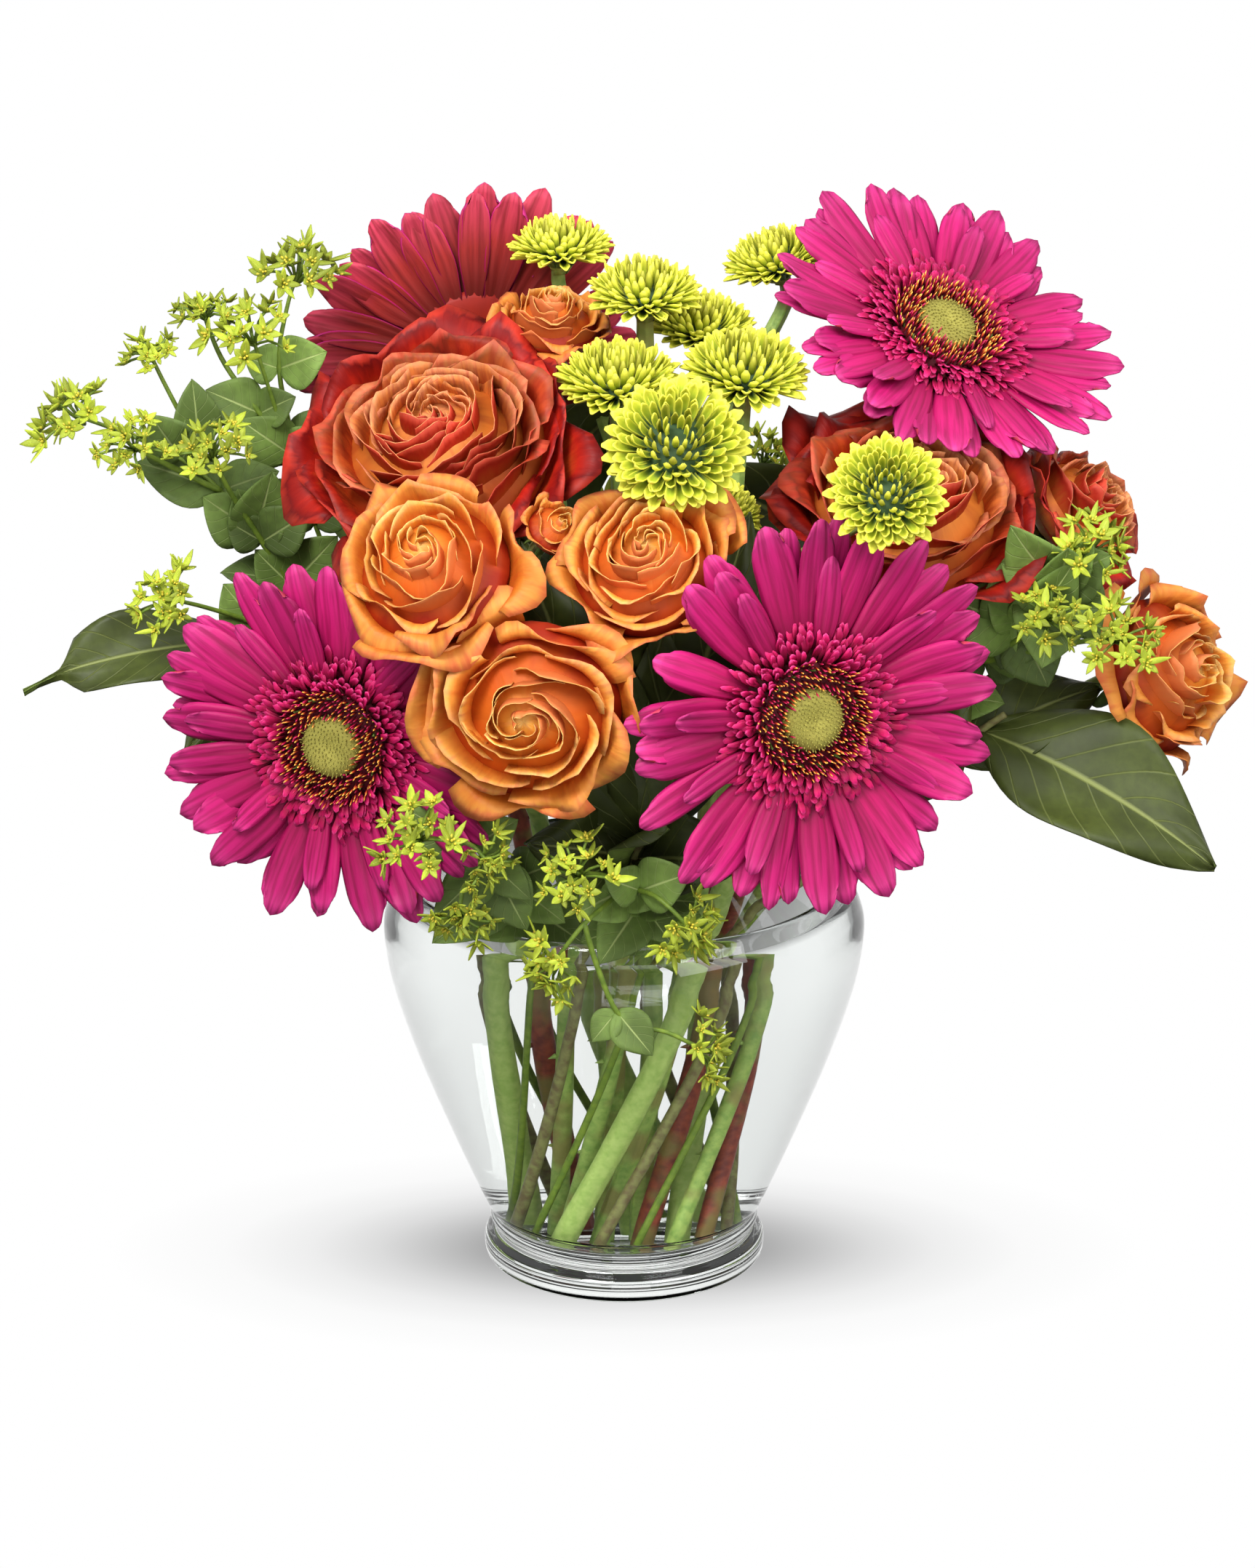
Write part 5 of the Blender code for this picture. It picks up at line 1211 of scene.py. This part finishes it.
for title, cut_stem, draw in stems_of("thorow_wax"):
    twigs, bracts, flowers, blades = [], [], [], []
    for number, shoot in enumerate(cut_stem.shoots):
        route = ROUTES[title, number]
        line = stem_line(route.points, shoot.start is None)
        twigs.append(tube(line, np.linspace(0.8 * route.radius, 0.55, len(line)), 8, shade=0.5))
        size = shoot.umbel
        axis = (route.points[-1] - route.points[-2]).normalized() + Vector((0, -0.4, 0.6))
        place = facing_frame(route.points[-1], axis.normalized())
        for star in range(STARS):
            angle = star * GOLDEN + draw.uniform(-0.25, 0.25)
            spread = 0.94 * math.sqrt(star / (STARS - 1)) * draw.uniform(0.88, 1.06)
            at = Vector((spread * size * math.cos(angle), spread * size * math.sin(angle),
                         size * (0.36 - 0.36 * spread + draw.uniform(-0.24, 0.20))))
            facing = Vector((at.x * 0.10 + draw.uniform(-0.7, 0.7),
                             at.y * 0.10 + draw.uniform(-0.7, 0.7), 1.0)).normalized()
            here = place @ facing_frame(at, facing, draw.uniform(0, 6.3))
            stalk = [np.array(place @ spot) for spot in (Vector((0, 0, -0.35 * size)), at * 0.5, at)]
            twigs.append(tube(smooth_line(stalk, 2), [0.42] * 5, 5, shade=0.5))
            share, bract_count = draw.uniform(0.7, 1.2), int(draw.integers(5, 8))
            for i in range(bract_count):
                bracts.append(shaped(bract_sheet, here, bract_form(
                    size * share * draw.uniform(0.24, 0.42), size * share * draw.uniform(0.055, 0.09),
                    2 * math.pi * (i + draw.uniform(-0.22, 0.22)) / bract_count, draw.uniform(0.1, 1.1)),
                    shade=draw.uniform()))
            for i in range(7):
                t = math.sqrt(i / 7)
                flowers.append(shaped(flower_sheet, here, spike_form(
                    0.11 * size * share * t, 0.11 * size * share, 0.036 * size * share, i * GOLDEN,
                    0.7 * t, 0.0, 0.3), shade=0.5))
    for number, leaf in enumerate(cut_stem.leaves + LOW_LEAVES.get(title, [])):
        root = ROUTES[title, leaf.run].points[leaf.point]
        tone = draw.uniform(0.55, 1.0) if "front" in title and number % 2 else draw.uniform()
        reach = Vector((-0.7 * leaf.reach.x, 0.6 * leaf.reach.y, 0.7 * leaf.reach.z))
        pair = Leaf(leaf.run, leaf.point, reach, 0.75 * leaf.width, leaf.face)
        blades += [shaped(leaf_sheet, Matrix.Identity(4), leaf_form(root, one, 0.24, 0.72), shade=tone)
                   for one in (leaf, pair)]
    hung(title + "_twigs", "thorow_wax", title, twigs, 0, twig_green)
    hung(title + "_bracts", "thorow_wax", title, bracts, 0.35, bract_lime)
    hung(title + "_flowers", "thorow_wax", title, flowers, 0, flower_ochre)
    hung(title + "_leaves", "thorow_wax", title, blades, 0.4, wax_leaf)
removed(bract_sheet, flower_sheet)


# The foliage. Broad leathery leaves with a pale midrib and a paler underside. They grow from the bends of
# woody twigs that stand in the vase with the stems.

leaf_skin = blade_look("leathery_leaf", (70, 80, 30), (126, 134, 74), veins=7.0, roughness=0.5)
leaf_back = blade_look("leathery_leaf_under", (108, 128, 56), (150, 160, 96), veins=7.0, roughness=0.55)
twig_skin = bark("leaf_twig", (132, 134, 80), (104, 92, 60))
INNER_LEAVES = {
    "leaves_front": [Leaf(0, 6, (-12, 10, 88), 20, (0, -1, 0)), Leaf(0, 5, (-22, 12, 60), 15, (0, -1, 0)),
                     Leaf(0, 6, (30, 14, 92), 18, (0, -1, 0)), Leaf(0, 6, (-34, 10, 86), 18, (0, -1, 0))],
    "leaves_back_left": [Leaf(0, 6, (62, -60, 72), 20, (0, -1, 0.2))],
    "leaves_back_right": [Leaf(0, 6, (-44, -40, 34), 18, (0, -1, 0.2))]}
broad_sheet = sheet(12, 22)
for title, cut_stem, draw in stems_of("leaf_green"):
    line = stem_line(ROUTES[title, 0].points, True)
    twig = tube(line, np.linspace(cut_stem.radius, 1.0, len(line)), 10, shade=0.5)
    hung(title + "_twig", "leaf_green", title, [twig], 0, twig_skin)
    blades = []
    for leaf in cut_stem.leaves + INNER_LEAVES.get(title, []):
        root = ROUTES[title, leaf.run].points[leaf.point]
        drip = -0.9 if title == "leaves_left" and leaf.point == 6 else 0.0
        blades.append(shaped(broad_sheet, Matrix.Identity(4), leaf_form(root, leaf, 0.36, 0.85, drip, 2.8),
                             shade=draw.uniform()))
    hung(title + "_blades", "leaf_green", title, blades, 0.5, leaf_skin, leaf_back)
removed(broad_sheet, leaf_sheet, bed_sheet, thorn_sheet)


# The studio. Soft daylight from all round, brightest from above and in front, and three lamps. Dark flags,
# which show only in the glass and in shine, give the vase its edges and bands. The white sweep takes no
# light: it glows for the camera alone, with a painted shadow round the foot of the vase, and other rays pass
# through it.

AIM = Vector((0.001, 0.0, 0.148))
DISTANCE = 1.5
ELEVATION = math.radians(19)
LENS = 117.7
LAMPS = [((-0.45, -0.85, 1.15), 19, 0.5), ((0.7, -0.7, 1.0), 11, 0.8), ((0.1, -1.1, 0.12), 3, 0.6)]
# Greys of the painted shadow on the sweep, by distance from the foot of the vase; the distance is stretched
# so that the shadow is wider than it is deep.
PAINTED_SHADOW_GREYS = [(0.0, 100), (0.22, 176), (0.29, 198), (0.37, 220), (0.47, 238), (0.60, 250), (0.78, 255)]

bpy.ops.object.select_all(action="DESELECT")
bpy.ops.mesh.primitive_plane_add(size=12, location=(0, 0, 0))
floor = bpy.context.object
floor.name = "floor"
white = material("white_sweep_painted_shadow")
spot = add(white, "VectorMath", {"operation": "MULTIPLY"}, v0=add(white, "TexCoord").outputs["Object"],
           v1=(5.0, 10.0, 0.0))
away = add(white, "VectorMath", {"operation": "LENGTH"}, v0=spot.outputs["Vector"]).outputs["Value"]
# The sweep's grey is a painted shadow, darkest at the foot of the vase; the sweep glows with it instead of
# being lit.
shade = ramp_of(white, away, [(distance, (grey,) * 3) for distance, grey in PAINTED_SHADOW_GREYS])
shadow_glow = add(white, "Emission", Color=shade).outputs[0]
unseen = add(white, "BsdfTransparent").outputs[0]
sweep = add(white, "MixShader", v0=add(white, "LightPath").outputs["Is Camera Ray"], v1=unseen, v2=shadow_glow)
white.node_tree.links.new(sweep.outputs[0], white.node_tree.nodes["Material Output"].inputs["Surface"])
floor.data.materials.append(white)

bpy.ops.object.camera_add(location=AIM + DISTANCE * Vector((0, -math.cos(ELEVATION), math.sin(ELEVATION))),
                          rotation=(math.pi / 2 - ELEVATION, 0, 0))
camera = bpy.context.object
camera.data.lens = LENS
bpy.context.scene.camera = camera


def chosen(made, factor, first, second):
    """The first value where the factor is 0, and the second where it is 1."""
    return add(made, "Mix", {"data_type": "FLOAT"}, v0=factor, v2=first, v3=second).outputs[0]


def product(made, first, *others):
    for other in others:
        first = math_of(made, "MULTIPLY", first, other)
    return first


world = bpy.data.worlds.new("studio_white")
world.use_nodes = True
way = add(world, "SeparateXYZ", v0=add(world, "TexCoord").outputs["Generated"]).outputs
path = add(world, "LightPath").outputs
in_glass = path["Is Transmission Ray"]
side_flags = ranged(world, math_of(world, "ABSOLUTE", way["X"]), 0.35, 0.90, 1.0, 0.72)
floor_flag = ranged(world, way["Z"], -0.75, -0.42, 0.05, 1.0)
front_flag = ranged(world, way["Y"], -0.5, 0.1, chosen(world, in_glass, 0.22, 0.30), 1.0)
top_flag = chosen(world, in_glass, 1.0, ranged(world, way["Z"], 0.16, 0.36, 1.0, 0.05))
flags = product(world, side_flags, floor_flag, front_flag, top_flag)
daylight = product(world, ranged(world, way["Z"], -0.3, 0.5, 0.18, 0.48),
                   ranged(world, way["Y"], -1.0, 0.2, 1.7, 1.0))
scattered = math_of(world, "GREATER_THAN", path["Diffuse Depth"], 0.5)
level = chosen(world, path["Is Camera Ray"], chosen(world, scattered, flags, daylight), 1.0)
world.node_tree.nodes["Background"].inputs["Color"].default_value = (1, 1, 1, 1)
world.node_tree.links.new(level, world.node_tree.nodes["Background"].inputs["Strength"])
bpy.context.scene.world = world
for spot, power, size in LAMPS:
    bpy.ops.object.light_add(type="AREA", location=spot)
    lamp = bpy.context.object
    lamp.data.energy = power
    lamp.data.size = size
    lamp.rotation_euler = (lamp.location - AIM).to_track_quat("Z", "Y").to_euler()
bpy.context.scene.view_settings.view_transform = "Standard"
